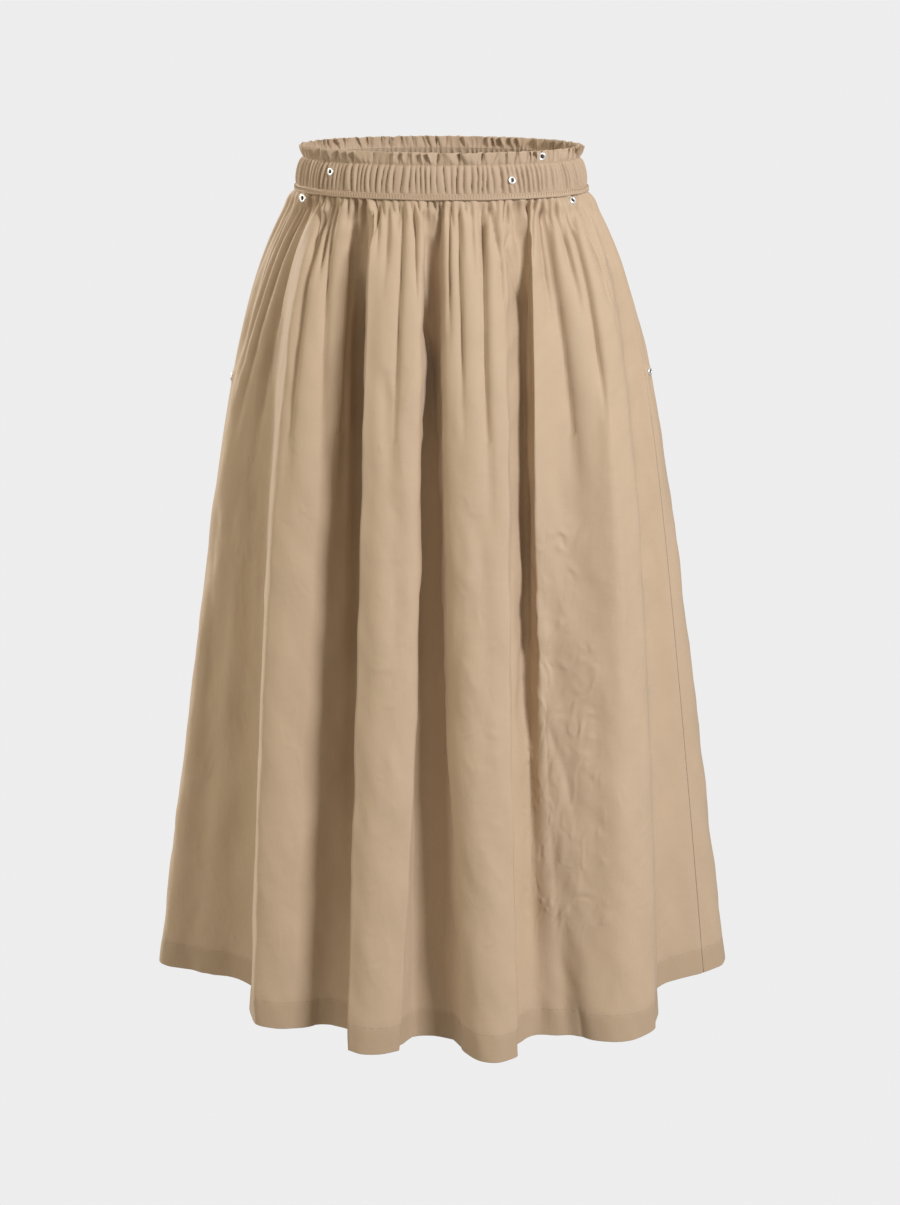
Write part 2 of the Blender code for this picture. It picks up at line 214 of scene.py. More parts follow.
@dataclass(frozen=True)
class Cloth:
    """A woven cotton, read from the piece's own map of its flat cut, which is in metres.

    A stretch gives a noise's scale along and across the cut, and a depth is a bump's height.
    """

    name: str
    colour: Colour
    shade: Colour
    roughness: float = 0.72
    gloss: float = 0.35
    sheen: float = 0.25
    sheen_roughness: float = 0.45
    sheen_tint: Colour = (1.0, 0.93, 0.84)
    # painted shade: the colour is multiplied by this where the hem lies doubled, standing for the
    # light that a single layer lets through
    doubled_shade: Colour = (0.86, 0.85, 0.83)
    dye_grain: Grain = Grain(9.0, 3.0, 0.55)
    dye_ends: tuple[float, float] = (0.30, 0.70)
    yarn_grain: Grain = Grain(1.0, 2.0, 0.5)
    slub_stretch: Triple = (900, 45, 1)
    pick_stretch: Triple = (45, 900, 1)
    streak_stretch: Triple = (90, 14, 1)
    crumple_stretch: Triple = (64, 38, 1)
    crumple_twist: float = 0.9
    rumple_grain: Grain = Grain(34.0, 4.0, 0.5)
    thread_share: float = 0.4
    weave_pitch: float = 0.5 * MM
    weave_depth: float = 0.03 * MM
    thread_depth: float = 0.06 * MM
    rumple: float = 0.9 * MM
    streak: float = 0.30 * MM
    crumple: float = 2.2 * MM

    def material(self) -> bpy.types.Material:
        """Builds the node material.

        Returns:
            The material, with weave, slubs, soft rumples, a slight unevenness of its dye and
            painted shade on the doubled hem.
        """
        constants = {"Roughness": self.roughness, "Specular IOR Level": self.gloss}
        constants |= {"Sheen Weight": self.sheen, "Sheen Roughness": self.sheen_roughness}
        surface = Surface(self.name, constants | {"Sheen Tint": (*self.sheen_tint, 1.0)})
        cut, place = surface.cut(), surface.place()
        stretches = (self.slub_stretch, self.pick_stretch, self.streak_stretch)
        slub, pick, streaks = (
            surface.noise(surface.stretched(cut, stretch), self.yarn_grain) for stretch in stretches
        )
        threads = surface.mixed(slub, pick, 0.5)
        tone = surface.mixed(surface.noise(place, self.dye_grain), threads, self.thread_share)
        dyed = surface.ramp(tone, self.shade, self.colour, self.dye_ends)
        # painted shade: the turned-up hem, where the cloth lies doubled, is darkened
        doubled_shading = {"Factor": surface.attribute("hem_shade_mask"), "A": dyed, "B": (*self.doubled_shade, 1.0)}
        colour = add_node(
            surface.tree, "ShaderNodeMix", doubled_shading, data_type="RGBA", blend_type="MULTIPLY"
        )
        warp, weft = (surface.bands(cut, axis, self.weave_pitch) for axis in "XY")
        surface.bump(surface.noise(place, self.rumple_grain), self.rumple)
        surface.bump(streaks, self.streak)
        surface.bump(self.crumples(surface, cut), self.crumple)
        surface.bump(threads, self.thread_depth)
        surface.bump(surface.mixed(warp, weft, 0.5), self.weave_depth)
        return surface.finished({"Base Color": colour.outputs["Result"]})

    def crumples(self, surface: Surface, cut: Socket) -> Socket:
        """Sharp small wrinkles, where the piece's "crumple" attribute asks for them.

        Args:
            surface: The material in the making.
            cut: The map of the flat cut, in metres.

        Returns:
            The wrinkles' height from 0 to 1.
        """
        inputs = {"Vector": surface.stretched(cut, self.crumple_stretch)}
        inputs |= {"Scale": 1.0, "Detail": 2.0, "Distortion": self.crumple_twist}
        ridged = add_node(
            surface.tree, "ShaderNodeTexNoise", inputs, noise_type="RIDGED_MULTIFRACTAL"
        )
        factors = {0: ridged.outputs["Fac"], 1: surface.attribute("crumple")}
        height = add_node(surface.tree, "ShaderNodeMath", factors, operation="MULTIPLY")
        return height.outputs["Value"]


@dataclass(frozen=True)
class Thread:
    """Spun sewing thread, with a twist that shows close up."""

    name: str
    colour: Colour
    roughness: float = 0.55
    sheen: float = 0.2
    between: float = 0.72
    ply_grain: Grain = Grain(1600.0, 2.0, 0.5)
    ply_depth: float = 0.08 * MM

    def material(self) -> bpy.types.Material:
        """Builds the node material.

        Returns:
            The material.
        """
        surface = Surface(self.name, {"Roughness": self.roughness, "Sheen Weight": self.sheen})
        ply = surface.noise(surface.place(), self.ply_grain)
        surface.bump(ply, self.ply_depth)
        colour = surface.ramp(ply, shaded(self.colour, self.between), self.colour)
        return surface.finished({"Base Color": colour})


@dataclass(frozen=True)
class Nickel:
    """Polished nickel plate with faint rubbing marks."""

    name: str
    colour: Colour
    metallic: float = 0.8
    roughness: float = 0.26
    rubbed: float = 0.14
    scratch_grain: Grain = Grain(700.0, 3.0, 0.6)
    scratch_depth: float = 0.01 * MM

    def material(self) -> bpy.types.Material:
        """Builds the node material.

        Returns:
            The material.
        """
        constants = {"Metallic": self.metallic, "Base Color": (*self.colour, 1.0)}
        surface = Surface(self.name, constants)
        marks = surface.noise(surface.place(), self.scratch_grain)
        wear = {"Value": marks, "To Min": self.roughness, "To Max": self.roughness + self.rubbed}
        rough = add_node(surface.tree, "ShaderNodeMapRange", wear).outputs["Result"]
        surface.bump(marks, self.scratch_depth)
        return surface.finished({"Roughness": rough})


@dataclass(frozen=True)
class Shadowed:
    """Painted shadow: a dark disc standing for the cloth edge in shade inside an eyelet's hole."""

    name: str
    colour: Colour
    roughness: float = 0.95
    gloss: float = 0.1
    darkest: float = 0.5
    shadow_mottle_grain: Grain = Grain(2500.0, 2.0, 0.5)

    def material(self) -> bpy.types.Material:
        """Builds the node material.

        Returns:
            The material.
        """
        constants = {"Roughness": self.roughness, "Specular IOR Level": self.gloss}
        surface = Surface(self.name, constants)
        # the painted shadow is mottled, from its colour down to half of it
        shadow_mottle = surface.noise(surface.place(), self.shadow_mottle_grain)
        colour = surface.ramp(shadow_mottle, shaded(self.colour, self.darkest), self.colour)
        return surface.finished({"Base Color": colour})


@dataclass(frozen=True)
class StudioPaper:
    """Pale studio paper, with the even light that it seems to have of its own."""

    name: str
    colour: Colour
    glow: Colour

    def material(self) -> bpy.types.Material:
        """Builds the node material.

        Returns:
            The material.
        """
        constants = {"Base Color": (*self.colour, 1.0), "Emission Color": (*self.glow, 1.0)}
        constants |= {"Roughness": 1.0, "Specular IOR Level": 0.0, "Emission Strength": 1.0}
        return Surface(self.name, constants).finished({})


POPLIN = Cloth("khaki_poplin", (0.505, 0.369, 0.243), (0.470, 0.341, 0.222))
# painted shade: the panels' poplin made about 9% darker for the band, for the shade among its
# gathers
BAND_POPLIN_SHADED = Cloth(
    "gathered_khaki_poplin_shaded",
    (0.462, 0.338, 0.225),
    (0.427, 0.310, 0.203),
    rumple=0.3 * MM,
    streak=0.1 * MM,
)
TAPE_COTTON = Cloth(
    "ribbed_khaki_tape",
    (0.490, 0.358, 0.238),
    (0.452, 0.327, 0.214),
    sheen=0.12,
    rumple=0.15 * MM,
    streak=0.05 * MM,
)
KHAKI_THREAD = Thread("khaki_thread", (0.360, 0.262, 0.172))
BRIGHT_NICKEL = Nickel("bright_nickel", (0.930, 0.925, 0.910))
# painted shadow: the dark brown of the discs that fill the eyelets' holes
HOLE_SHADOW = Shadowed("eyelet_hole_shadow", (0.090, 0.070, 0.052))
FLOOR_PAPER = StudioPaper("floor_paper", (0.26, 0.255, 0.25), (0.0, 0.0, 0.0))
PALE_PAPER = StudioPaper("pale_paper", (0.0, 0.0, 0.0), (0.855, 0.848, 0.852))


# shared shape tools


def scatter(index: float | np.ndarray, seed: float) -> float | np.ndarray:
    """A fixed irregular number from -1 to 1 for each index."""
    return 2.0 * (np.sin(np.asarray(index) * 12.9898 + seed * 78.233) * 43758.5453 % 1.0) - 1.0


def drift(at: np.ndarray, down: np.ndarray | float, length: float, seed: int) -> np.ndarray:
    """Smooth irregular waves from about -1 to 1 over a surface.

    Args:
        at: Distance across the surface at each point, in metres.
        down: Distance down the surface at each point, in metres.
        length: The waves' typical length across. They are about twice as long downwards.
        seed: Picks another set of waves.

    Returns:
        The waves' value at each point.
    """
    total = np.zeros(np.broadcast(at, down).shape)
    for k in range(7):
        across = TAU / length * (0.6 + 0.13 * k) * (1 if k % 2 else -1)
        along = TAU / length * (0.20 + 0.11 * ((k * 3) % 7))
        total += np.sin(across * at + along * down + TAU * scatter(k, seed))
    return total / 3.5


def running_total(weight: np.ndarray) -> np.ndarray:
    """A weight summed from its first place to each other one."""
    return np.concatenate([[0.0], np.cumsum((weight[1:] + weight[:-1]) / 2)])


def nearest(values: np.ndarray, wanted: list[float]) -> list[int]:
    """The index of the value nearest to each wanted one."""
    return [int(np.argmin(np.abs(values - value))) for value in wanted]


def placed(name: str, data: bpy.types.ID) -> bpy.types.Object:
    """Puts a mesh, a lamp or a camera into the scene.

    Args:
        name: The new object's name.
        data: What it shows.

    Returns:
        The new object.
    """
    piece = bpy.data.objects.new(name, data)
    bpy.context.scene.collection.objects.link(piece)
    return piece


def cloth_mesh(
    name: str, points: np.ndarray, faces: list, cut: np.ndarray, values: dict[str, np.ndarray]
) -> bpy.types.Object:
    """Makes a smooth mesh with the map of its flat cut.

    Args:
        name: The object's name.
        points: Places, as rows of 3.
        faces: The points of each face.
        cut: Each point's place on the flat cut, in metres, for every corner of the faces.
        values: The points' own values for the material, by name.

    Returns:
        The new object.
    """
    mesh = bpy.data.meshes.new(name)
    mesh.from_pydata(points.tolist(), [], faces)
    mesh.uv_layers.new(name="cut").data.foreach_set("uv", cut.astype(np.float32).ravel())
    for value_name, value in values.items():
        attribute = mesh.attributes.new(value_name, "FLOAT", "POINT")
        attribute.data.foreach_set("value", value.astype(np.float32))
    mesh.shade_smooth()
    return placed(name, mesh)


def ring_mesh(name: str, points: np.ndarray, cut: np.ndarray) -> bpy.types.Object:
    """Makes a closed ring of cloth from a grid of points.

    Args:
        name: The object's name.
        points: Places, as rows x columns x 3. Rows run down the outside and columns towards +X at
            the front, so that the faces point outwards.
        cut: Each point's place on the flat cut, as rows x columns x 2, in metres.

    Returns:
        The new object.
    """
    rows, columns = points.shape[:2]
    index = np.arange(rows * columns).reshape(rows, columns)
    below, beside = np.roll(index, -1, 0), np.roll(index, -1, 1)
    corners = np.stack([index, below, np.roll(below, -1, 1), beside], 2).reshape(-1, 4)
    flat = cut.reshape(-1, 2)
    loops = flat[corners.ravel()]
    wrapped = np.zeros((rows, columns, 4), bool)
    wrapped[:, -1, 2:] = True
    loops[wrapped.ravel(), 0] += flat[:, 0].max() * (1 + 1 / columns)
    # the rings get none of the painted shade of the doubled hem
    values = {"hem_shade_mask": np.zeros(rows * columns)}
    return cloth_mesh(name, points.reshape(-1, 3), corners.tolist(), loops, values)


def thinned_mesh(
    name: str, points: np.ndarray, cut: np.ndarray, values: dict[str, np.ndarray], dense_rows: int
) -> bpy.types.Object:
    """Makes cloth from a grid that keeps only every second column below its dense rows.

    Args:
        name: The object's name.
        points: Places, as rows x columns x 3, with an odd number of columns.
        cut: Each point's place on the flat cut, in metres.
        values: The points' own values for the material, by name.
        dense_rows: How many rows keep all of their columns.

    Returns:
        The new object.
    """
    kept = np.ones(points.shape[:2], bool)
    kept[dense_rows:, 1::2] = False
    index = np.cumsum(kept.ravel()).reshape(kept.shape) - 1
    faces = []
    for r in range(len(index) - 1):
        upper = index[r, ::2] if r >= dense_rows else index[r]
        lower = index[r + 1, ::2] if r + 1 >= dense_rows else index[r + 1]
        sides = [upper[:-1], lower[:-1], lower[1:], upper[1:]]
        if r + 1 == dense_rows:
            sides = [upper[:-2:2], lower[:-1], lower[1:], upper[2::2], upper[1:-1:2]]
        faces += np.stack(sides, 1).tolist()
    order = [point for face in faces for point in face]
    values = {value_name: value[kept] for value_name, value in values.items()}
    return cloth_mesh(name, points[kept], faces, cut[kept][order], values)


def plain_mesh(source: bpy.types.Object, name: str) -> bpy.types.Object:
    """Turns an object and its modifiers into a plain mesh, and removes the first object.

    Args:
        source: The object with its modifiers.
        name: The new object's name.

    Returns:
        The new object.
    """
    depsgraph = bpy.context.evaluated_depsgraph_get()
    mesh = bpy.data.meshes.new_from_object(source.evaluated_get(depsgraph), depsgraph=depsgraph)
    mesh.name = name
    bpy.data.objects.remove(source, do_unlink=True)
    return placed(name, mesh)


def triangles(piece: bpy.types.Object) -> int:
    """Counts a piece's triangles."""
    return sum(len(polygon.vertices) - 2 for polygon in piece.data.polygons)


def closed_curve(values: np.ndarray, each: int) -> np.ndarray:
    """Runs a smooth closed curve through rows of values.

    Args:
        values: One row for each point that the curve passes.
        each: How many points to give between two of them.

    Returns:
        The curve's points, each times as many.
    """
    v0, v1, v2, v3 = (np.roll(values, shift, 0)[:, None, :] for shift in (1, 0, -1, -2))
    t = (np.arange(each) / each)[None, :, None]
    bend = (2 * v0 - 5 * v1 + 4 * v2 - v3) * t**2 + (3 * v1 - v0 - 3 * v2 + v3) * t**3
    curve = 0.5 * (2 * v1 + (v2 - v0) * t + bend)
    return curve.reshape(-1, values.shape[1])


# the skirt's form


class FoldLine(NamedTuple):
    """A fold's line, with how far it bows and sinks halfway down, in degrees and millimetres."""

    name: str
    waist: float
    hem_x: float
    hem_y: float
    bow: float
    sink: float


FRONT_FOLDS = [
    FoldLine(*row)
    for row in (
        ("left seam", -88, -282, 8, 0, 0), ("left strip edge", -74, -279, -20, 2, 0),
        ("left strip", -62, -240, -40, 0, 4), ("left strip foot", -56, -197, -51, -7, 7),
        ("left valley", -53, -181, -63, -10, 9), ("pleat 1 flank", -50.5, -171, -122, -7, 3),
        ("pleat 1 edge", -48, -162, -146, -8, 0), ("pleat 1 left", -44, -145, -153, -6, -1),
        ("pleat 1 crown", -38, -118, -150, -1, 2), ("valley 1 left", -31, -97, -142, 6, 15),
        ("valley 1 right", -27, -77, -150, 4, 24), ("pleat 2 left edge", -23.5, -68, -188, 5, 0),
        ("pleat 2 left", -19, -56, -197, 6, -2), ("pleat 2 crown", -12, -38, -196, 8, -2),
        ("pleat 2 right edge", -5, -22, -182, 8, 0), ("valley 2 left", -2, -10, -158, -2, 16),
        ("valley 2", 0, 6, -155, -2, 17), ("valley 2 right", 2.5, 22, -161, -5, 12),
        ("pleat 3 left edge", 7, 40, -190, -9, 0), ("pleat 3 left", 13, 54, -202, -6, -2),
        ("pleat 3 crown", 20, 70, -203, -3, -1), ("pleat 3 right edge", 26.5, 82, -194, -2, 0),
        ("valley 3 left", 30, 86, -166, -3, 6), ("valley 3", 35, 100, -147, -5, 15),
        ("pleat 4 left", 39.7, 124, -146, -14, -5), ("pleat 4 dip", 48, 156, -153, -7, 3),
        ("pleat 4 edge", 59, 190, -148, 9, -3), ("pleat 4 turn", 66, 206, -132, 13, -2),
        ("pleat 4 flank", 73, 213, -95, 9, 0), ("right valley", 78.5, 215, -32, 7, 6),
        ("right strip", 82.5, 234, -14, 4, 2),
    )
]
BACK_FOLDS = [
    FoldLine(*row)
    for row in (
        ("right seam", 86, 258, 3, 4, 0), ("back pleat 1 edge", 91, 276, 23, 2, 0),
        ("back pleat 1 turn", 96, 279, 49, 0, 0), ("back pleat 1 flank", 102, 259, 74, 0, -2),
        ("back valley 1", 108, 229, 87, 0, -10), ("back pleat 2 flank", 114, 208, 108, 0, -6),
        ("back pleat 2 edge", 119, 203, 140, 2, 0), ("back pleat 2 crown", 126, 182, 163, 0, 2),
        ("back pleat 2 fall", 133, 154, 163, 0, 0), ("back valley 2", 139, 131, 149, 2, -14),
        ("back pleat 3 flank", 145, 107, 162, 3, -10), ("back pleat 3 edge", 150, 97, 190, 2, 0),
        ("back pleat 3 crown", 158, 68, 202, 0, 2), ("back pleat 3 fall", 166, 42, 186, -3, 0),
        ("back valley 3", 173, 21, 157, 0, -18), ("back pleat 4 flank", 180, -4, 167, 3, -12),
        ("back pleat 4 edge", 185, -19, 194, 3, 0), ("back pleat 4 crown", 193, -48, 204, 0, 1),
        ("back pleat 4 fall", 201, -73, 184, -3, 0), ("back valley 4", 208, -93, 153, -2, -16),
        ("back pleat 5 flank", 215, -119, 152, 0, -8),
        ("back pleat 5 crown", 222, -144, 172, 0, 2), ("back pleat 5 edge", 230, -174, 166, 0, 0),
        ("back pleat 5 fall", 237, -191, 134, 0, -2), ("back valley 5", 244, -205, 99, 3, -9),
        ("back pleat 6 flank", 251, -232, 84, 2, -5), ("back pleat 6 crown", 258, -262, 69, 0, 0),
        ("back pleat 6 edge", 265, -280, 38, 0, 0),
    )
]


@dataclass
class SkirtForm:
    """The skirt's surface before its creases: a waist oval that opens into the folds of the hem."""

    folds: list[FoldLine]
    waist_half: float = 133.2 * MM
    oval: float = 0.688
    top: float = -17.9 * MM
    hem: float = -777.5 * MM
    spring: float = 0.286
    spring_reach: float = 0.108
    swell_drop: float = 0.40

    def __post_init__(self) -> None:
        """Reads the fold lines as columns of numbers."""
        self.length = self.top - self.hem
        self.hem_line = np.array([(f.hem_x, f.hem_y) for f in self.folds]) * MM
        self.bows = np.array([(f.bow, f.sink) for f in self.folds]) * MM
        self.bearings = np.array([[f.waist] for f in self.folds])
        self.spans = np.linalg.norm(np.roll(self.hem_line, -1, axis=0) - self.hem_line, axis=1)
        self.knots = np.concatenate([[0.0], np.cumsum(self.spans)])

    def _read(
        self, values: np.ndarray, at: np.ndarray, wrap: float = 0.0, steady: bool = False
    ) -> np.ndarray:
        """Reads a smooth closed curve through the folds' values.

        Args:
            values: One row for each fold.
            at: Distances along the hem.
            wrap: What a whole turn adds to the values.
            steady: Whether the curve must never turn back.

        Returns:
            One row for each distance.
        """
        step = np.roll(values, -1, axis=0) - values
        step[-1] += wrap
        span = self.spans[:, None]
        slope, span_before = step / span, np.roll(span, 1, axis=0)
        before = np.roll(slope, 1, axis=0)
        if steady:
            knot = 2.0 * before * slope / (before + slope)
        else:
            knot = (before * span + slope * span_before) / (span_before + span)
        i = np.clip(np.searchsorted(self.knots, at, side="right") - 1, 0, len(values) - 1)
        t = ((at - self.knots[i]) / self.spans[i])[:, None]
        return (
            values[i] * (1 + 2 * t) * (1 - t) ** 2
            + knot[i] * span[i] * t * (1 - t) ** 2
            + (values[i] + step[i]) * t * t * (3 - 2 * t)
            - knot[(i + 1) % len(values)] * span[i] * t * t * (1 - t)
        )

    def bearing(self, at: np.ndarray) -> np.ndarray:
        """Bearings at the waist, in degrees, for distances along the hem."""
        return self._read(self.bearings, at, 360.0, True)[:, 0]

    def start_of(self, name: str) -> float:
        """Distance along the hem of a fold line."""
        return float(self.knots[[f.name for f in self.folds].index(name)])

    def spread(self, drop: np.ndarray | float) -> np.ndarray | float:
        """Share of the way from the waist oval to the hem line, at a share of the drop."""
        sprung = 1.0 - np.exp(-drop / self.spring_reach)
        return self.spring * sprung + (1.0 - self.spring) * drop

    def round_waist(self, turn: np.ndarray) -> tuple[np.ndarray, np.ndarray]:
        """Goes round the waist's oval.

        Args:
            turn: Bearings in degrees.

        Returns:
            The oval's points in plan, for a half-width of 1, and its unit vectors outwards.
        """
        angle = np.radians(turn)
        shape = np.stack([np.sin(angle), -self.oval * np.cos(angle)], 1)
        away = np.stack([self.oval * np.sin(angle), -np.cos(angle)], 1)
        return shape, away / np.linalg.norm(away, axis=1, keepdims=True)

    def surface(self, at: np.ndarray, down: np.ndarray) -> np.ndarray:
        """Places on the surface.

        Args:
            at: Distances along the hem, one for each column.
            down: Distances below the panel's top, one for each row.

        Returns:
            Points, as rows x columns x 3.
        """
        waist = self.round_waist(self.bearing(at))[0] * self.waist_half
        share = self.spread(np.clip(down / self.length, 0.0, 1.0))[:, None, None]
        middle = self.spread(self.swell_drop)
        swell = share * (1.0 - share) / (middle * (1.0 - middle))
        plan = waist * (1.0 - share) + self._read(self.hem_line, at) * share
        plan = plan + self._read(self.bows, at) * swell
        height = np.broadcast_to((self.top - down)[:, None, None], plan.shape[:2] + (1,))
        return np.concatenate([plan, height], 2)


# creases pressed into the cloth


class Fold(Enum):
    """How the cloth stands across a crease's line."""

    VALLEY = "a sharp crease inwards"
    SOFT = "a rounded dip inwards"
    RIDGE = "a sharp ridge outwards"
    SWELL = "a rounded rise outwards"
    LAP_LEFT = "the cloth left of the line laps over the right"
    LAP_RIGHT = "the cloth right of the line laps over the left"


class Crease(NamedTuple):
    """A crease: bearings of its two ends at the waist, its heights below the panel's top, its depth
    and how far it reaches to each side, in millimetres."""

    from_turn: float
    to_turn: float
    top: float
    foot: float
    depth: float
    left: float
    right: float
    fold: Fold


def creases_of(fold: Fold, *rows: tuple[float, ...]) -> list[Crease]:
    """Creases of one kind, from rows of their other values in the order of Crease."""
    return [Crease(*row, fold) for row in rows]


FRONT_CREASES = [
    # the edges of the deep pleats and the valleys beside them
    *creases_of(
        Fold.LAP_RIGHT,
        (-23.9, -23.1, 8, 1400, 4.4, 14, 6), (-1.8, 3.2, 50, 310, 2.8, 6, 4),
        (2.4, 8, 210, 800, 3, 8, 6), (41.4, 40, 26, 310, 4.8, 13, 4),
        (40.4, 38.2, 230, 490, 2.6, 10, 6),
    ),
    *creases_of(
        Fold.SOFT,
        (-26.8, -26.2, 60, 900, 11, 9, 5), (-0.8, 1.6, 30, 420, 3.4, 4, 6),
        (36.6, 31, 240, 560, 3, 8, 6), (29.4, 30.4, 300, 900, 3.6, 5, 7),
    ),
    *creases_of(
        Fold.LAP_LEFT,
        (-3.4, -2.6, 8, 240, 4, 8, 6), (-2.6, -9, 110, 1400, 4.8, 9, 7),
        (27.2, 28.2, 80, 1400, 3.8, 8, 8), (68.6, 70.2, 220, 1400, 1.5, 8, 7),
    ),
    *creases_of(Fold.RIDGE, (-47.6, -48.9, 220, 1400, 0.9, 6, 10)),
    # long gathers that run out of the tape, from left to right
    *creases_of(
        Fold.VALLEY,
        (-84, -85, 2, 120, 3.7, 6, 3), (-73, -79, 2, 170, 4.6, 7, 3),
        (-67, -74, 4, 200, 4.9, 8, 3.4), (-60.9, -69.5, 2, 270, 6.4, 10, 3.6),
        (-55.2, -59.4, 2, 290, 7.6, 12, 3.4), (-50.8, -45.6, 0, 56, 6.4, 6, 3),
        (-45.6, -44.6, 10, 290, 8, 11, 3.6), (-42.8, -40.6, 0, 80, 5.2, 6, 2.2),
        (-39.2, -35.4, 0, 250, 7.8, 10, 3), (-31.2, -32.4, 0, 70, 6.1, 4, 5),
        (-27.4, -26.4, 0, 70, 3.9, 3, 2.4), (-20.6, -23.8, 0, 40, 6.1, 6, 2.6),
        (-17, -18.4, 0, 84, 3.9, 4.5, 2.2), (-11.5, -14.4, 0, 270, 6.6, 9, 3),
        (-6.8, -5.8, 0, 96, 4.6, 5, 2.4), (2.6, 1.2, 0, 54, 4.4, 4, 2.4),
        (6.5, 7.6, 0, 130, 5.9, 6, 2.6), (10.5, 12.4, 0, 230, 6.1, 7, 3),
        (15.2, 16.4, 0, 70, 4.1, 4, 2.2), (19.4, 20.8, 0, 310, 7.8, 8, 2.8),
        (22.3, 27.4, 0, 60, 6.6, 5, 2.4), (29.2, 31.8, 0, 34, 5.1, 3.4, 2.2),
        (31.8, 28.6, 24, 42, 3.9, 3, 2.4), (28.6, 39.4, 34, 128, 4.6, 5, 2.8),
        (34.6, 34, 0, 40, 4.1, 3, 2.2), (38.8, 41.4, 0, 60, 7.3, 7, 2.4),
        (46.2, 46.8, 0, 120, 7.4, 7, 2.6), (47.6, 51.2, 8, 300, 7.6, 10, 4),
        (52.4, 55, 0, 110, 6.2, 6, 2.4), (64.2, 57.4, -2, 36, 4.9, 3, 2.4),
        (57.6, 58.8, 6, 240, 7.8, 11, 3), (67.4, 67, 0, 110, 5.8, 6, 2.6),
        (72.5, 74.4, 0, 200, 6.2, 8, 3), (78, 80, 0, 80, 3.4, 4, 2.4),
    ),
    *creases_of(Fold.SOFT, (-79, -81, 4, 240, 2.8, 7, 4), (27, 27.4, 46, 190, 3.6, 8, 4)),
    *creases_of(Fold.LAP_LEFT, (-31.8, -34.2, 20, 420, 4.6, 7, 7)),
    *creases_of(Fold.SWELL, (58.8, 60.2, 150, 460, 3, 9, 6)),
    # the left strip's dark stripe and the streaks beside it
    *creases_of(
        Fold.SOFT,
        (-74, -63.6, 280, 600, 3.4, 14, 10), (-65.4, -62.4, 330, 1000, 4.6, 19, 17),
        (-53.4, -52.2, 260, 620, 1.6, 5, 5),
    ),
    *creases_of(Fold.RIDGE, (-70.4, -68.6, 420, 700, 1, 5, 6), (-61, -60.2, 360, 640, 1, 4, 6)),
    # broad soft dips lower down
    *creases_of(
        Fold.SOFT,
        (-41, -40, 330, 640, 2.4, 16, 16), (-17.8, -13, 140, 300, 2.6, 7, 9),
        (-13, -11.2, 240, 480, 1.8, 8, 9), (17, 19, 260, 560, 2.4, 9, 12),
        (43, 47.6, 330, 735, 3.4, 13, 13), (40.4, 42.4, 380, 1100, 5, 10, 15),
        (52, 50, 420, 700, 2, 9, 9), (62, 63, 300, 700, 2, 12, 10),
    ),
    *creases_of(Fold.SWELL, (74, 75, 320, 720, 1.6, 8, 8)),
    # short crumples
    *creases_of(
        Fold.RIDGE,
        (11.4, 14.4, 310, 336, 1.8, 3, 4.5), (14, 17.2, 334, 440, 1.2, 3.5, 6),
    ),
    *creases_of(
        Fold.VALLEY,
        (14.4, 12.8, 326, 366, 2, 3, 4.5), (37, 41.6, 312, 350, 2.2, 3.5, 6),
        (42.4, 38, 340, 384, 2.2, 3.5, 6), (38, 42.8, 380, 424, 2.2, 4, 6),
        (43, 38.8, 420, 470, 2, 4, 6.5), (41.6, 46, 466, 524, 2, 4.5, 6.5),
        (45.4, 41, 522, 572, 1.8, 4.5, 6.5), (27.8, 29.4, 330, 376, 1.6, 3, 4.5),
    ),
    # pulls in the hem's turn-up
    *creases_of(
        Fold.VALLEY,
        (-71, -70.6, 728, 792, 1.4, 3, 4.5), (-60.4, -60, 730, 800, 1.9, 2.6, 5),
        (-57.6, -57.8, 726, 790, 1.5, 4, 2.6), (-33.6, -33, 728, 800, 2, 3, 5.5),
        (-29.6, -29.9, 726, 784, 1.4, 4, 3), (2.6, 3, 728, 800, 1.8, 3, 5),
        (4.9, 4.7, 726, 790, 1.3, 4, 3), (32.4, 32.8, 730, 800, 1.8, 3, 5),
        (36.4, 36.2, 726, 788, 1.5, 4.5, 3), (44, 44.6, 728, 800, 1.7, 3, 5.5),
        (80.4, 80.2, 728, 792, 1.4, 3, 4),
    ),
]
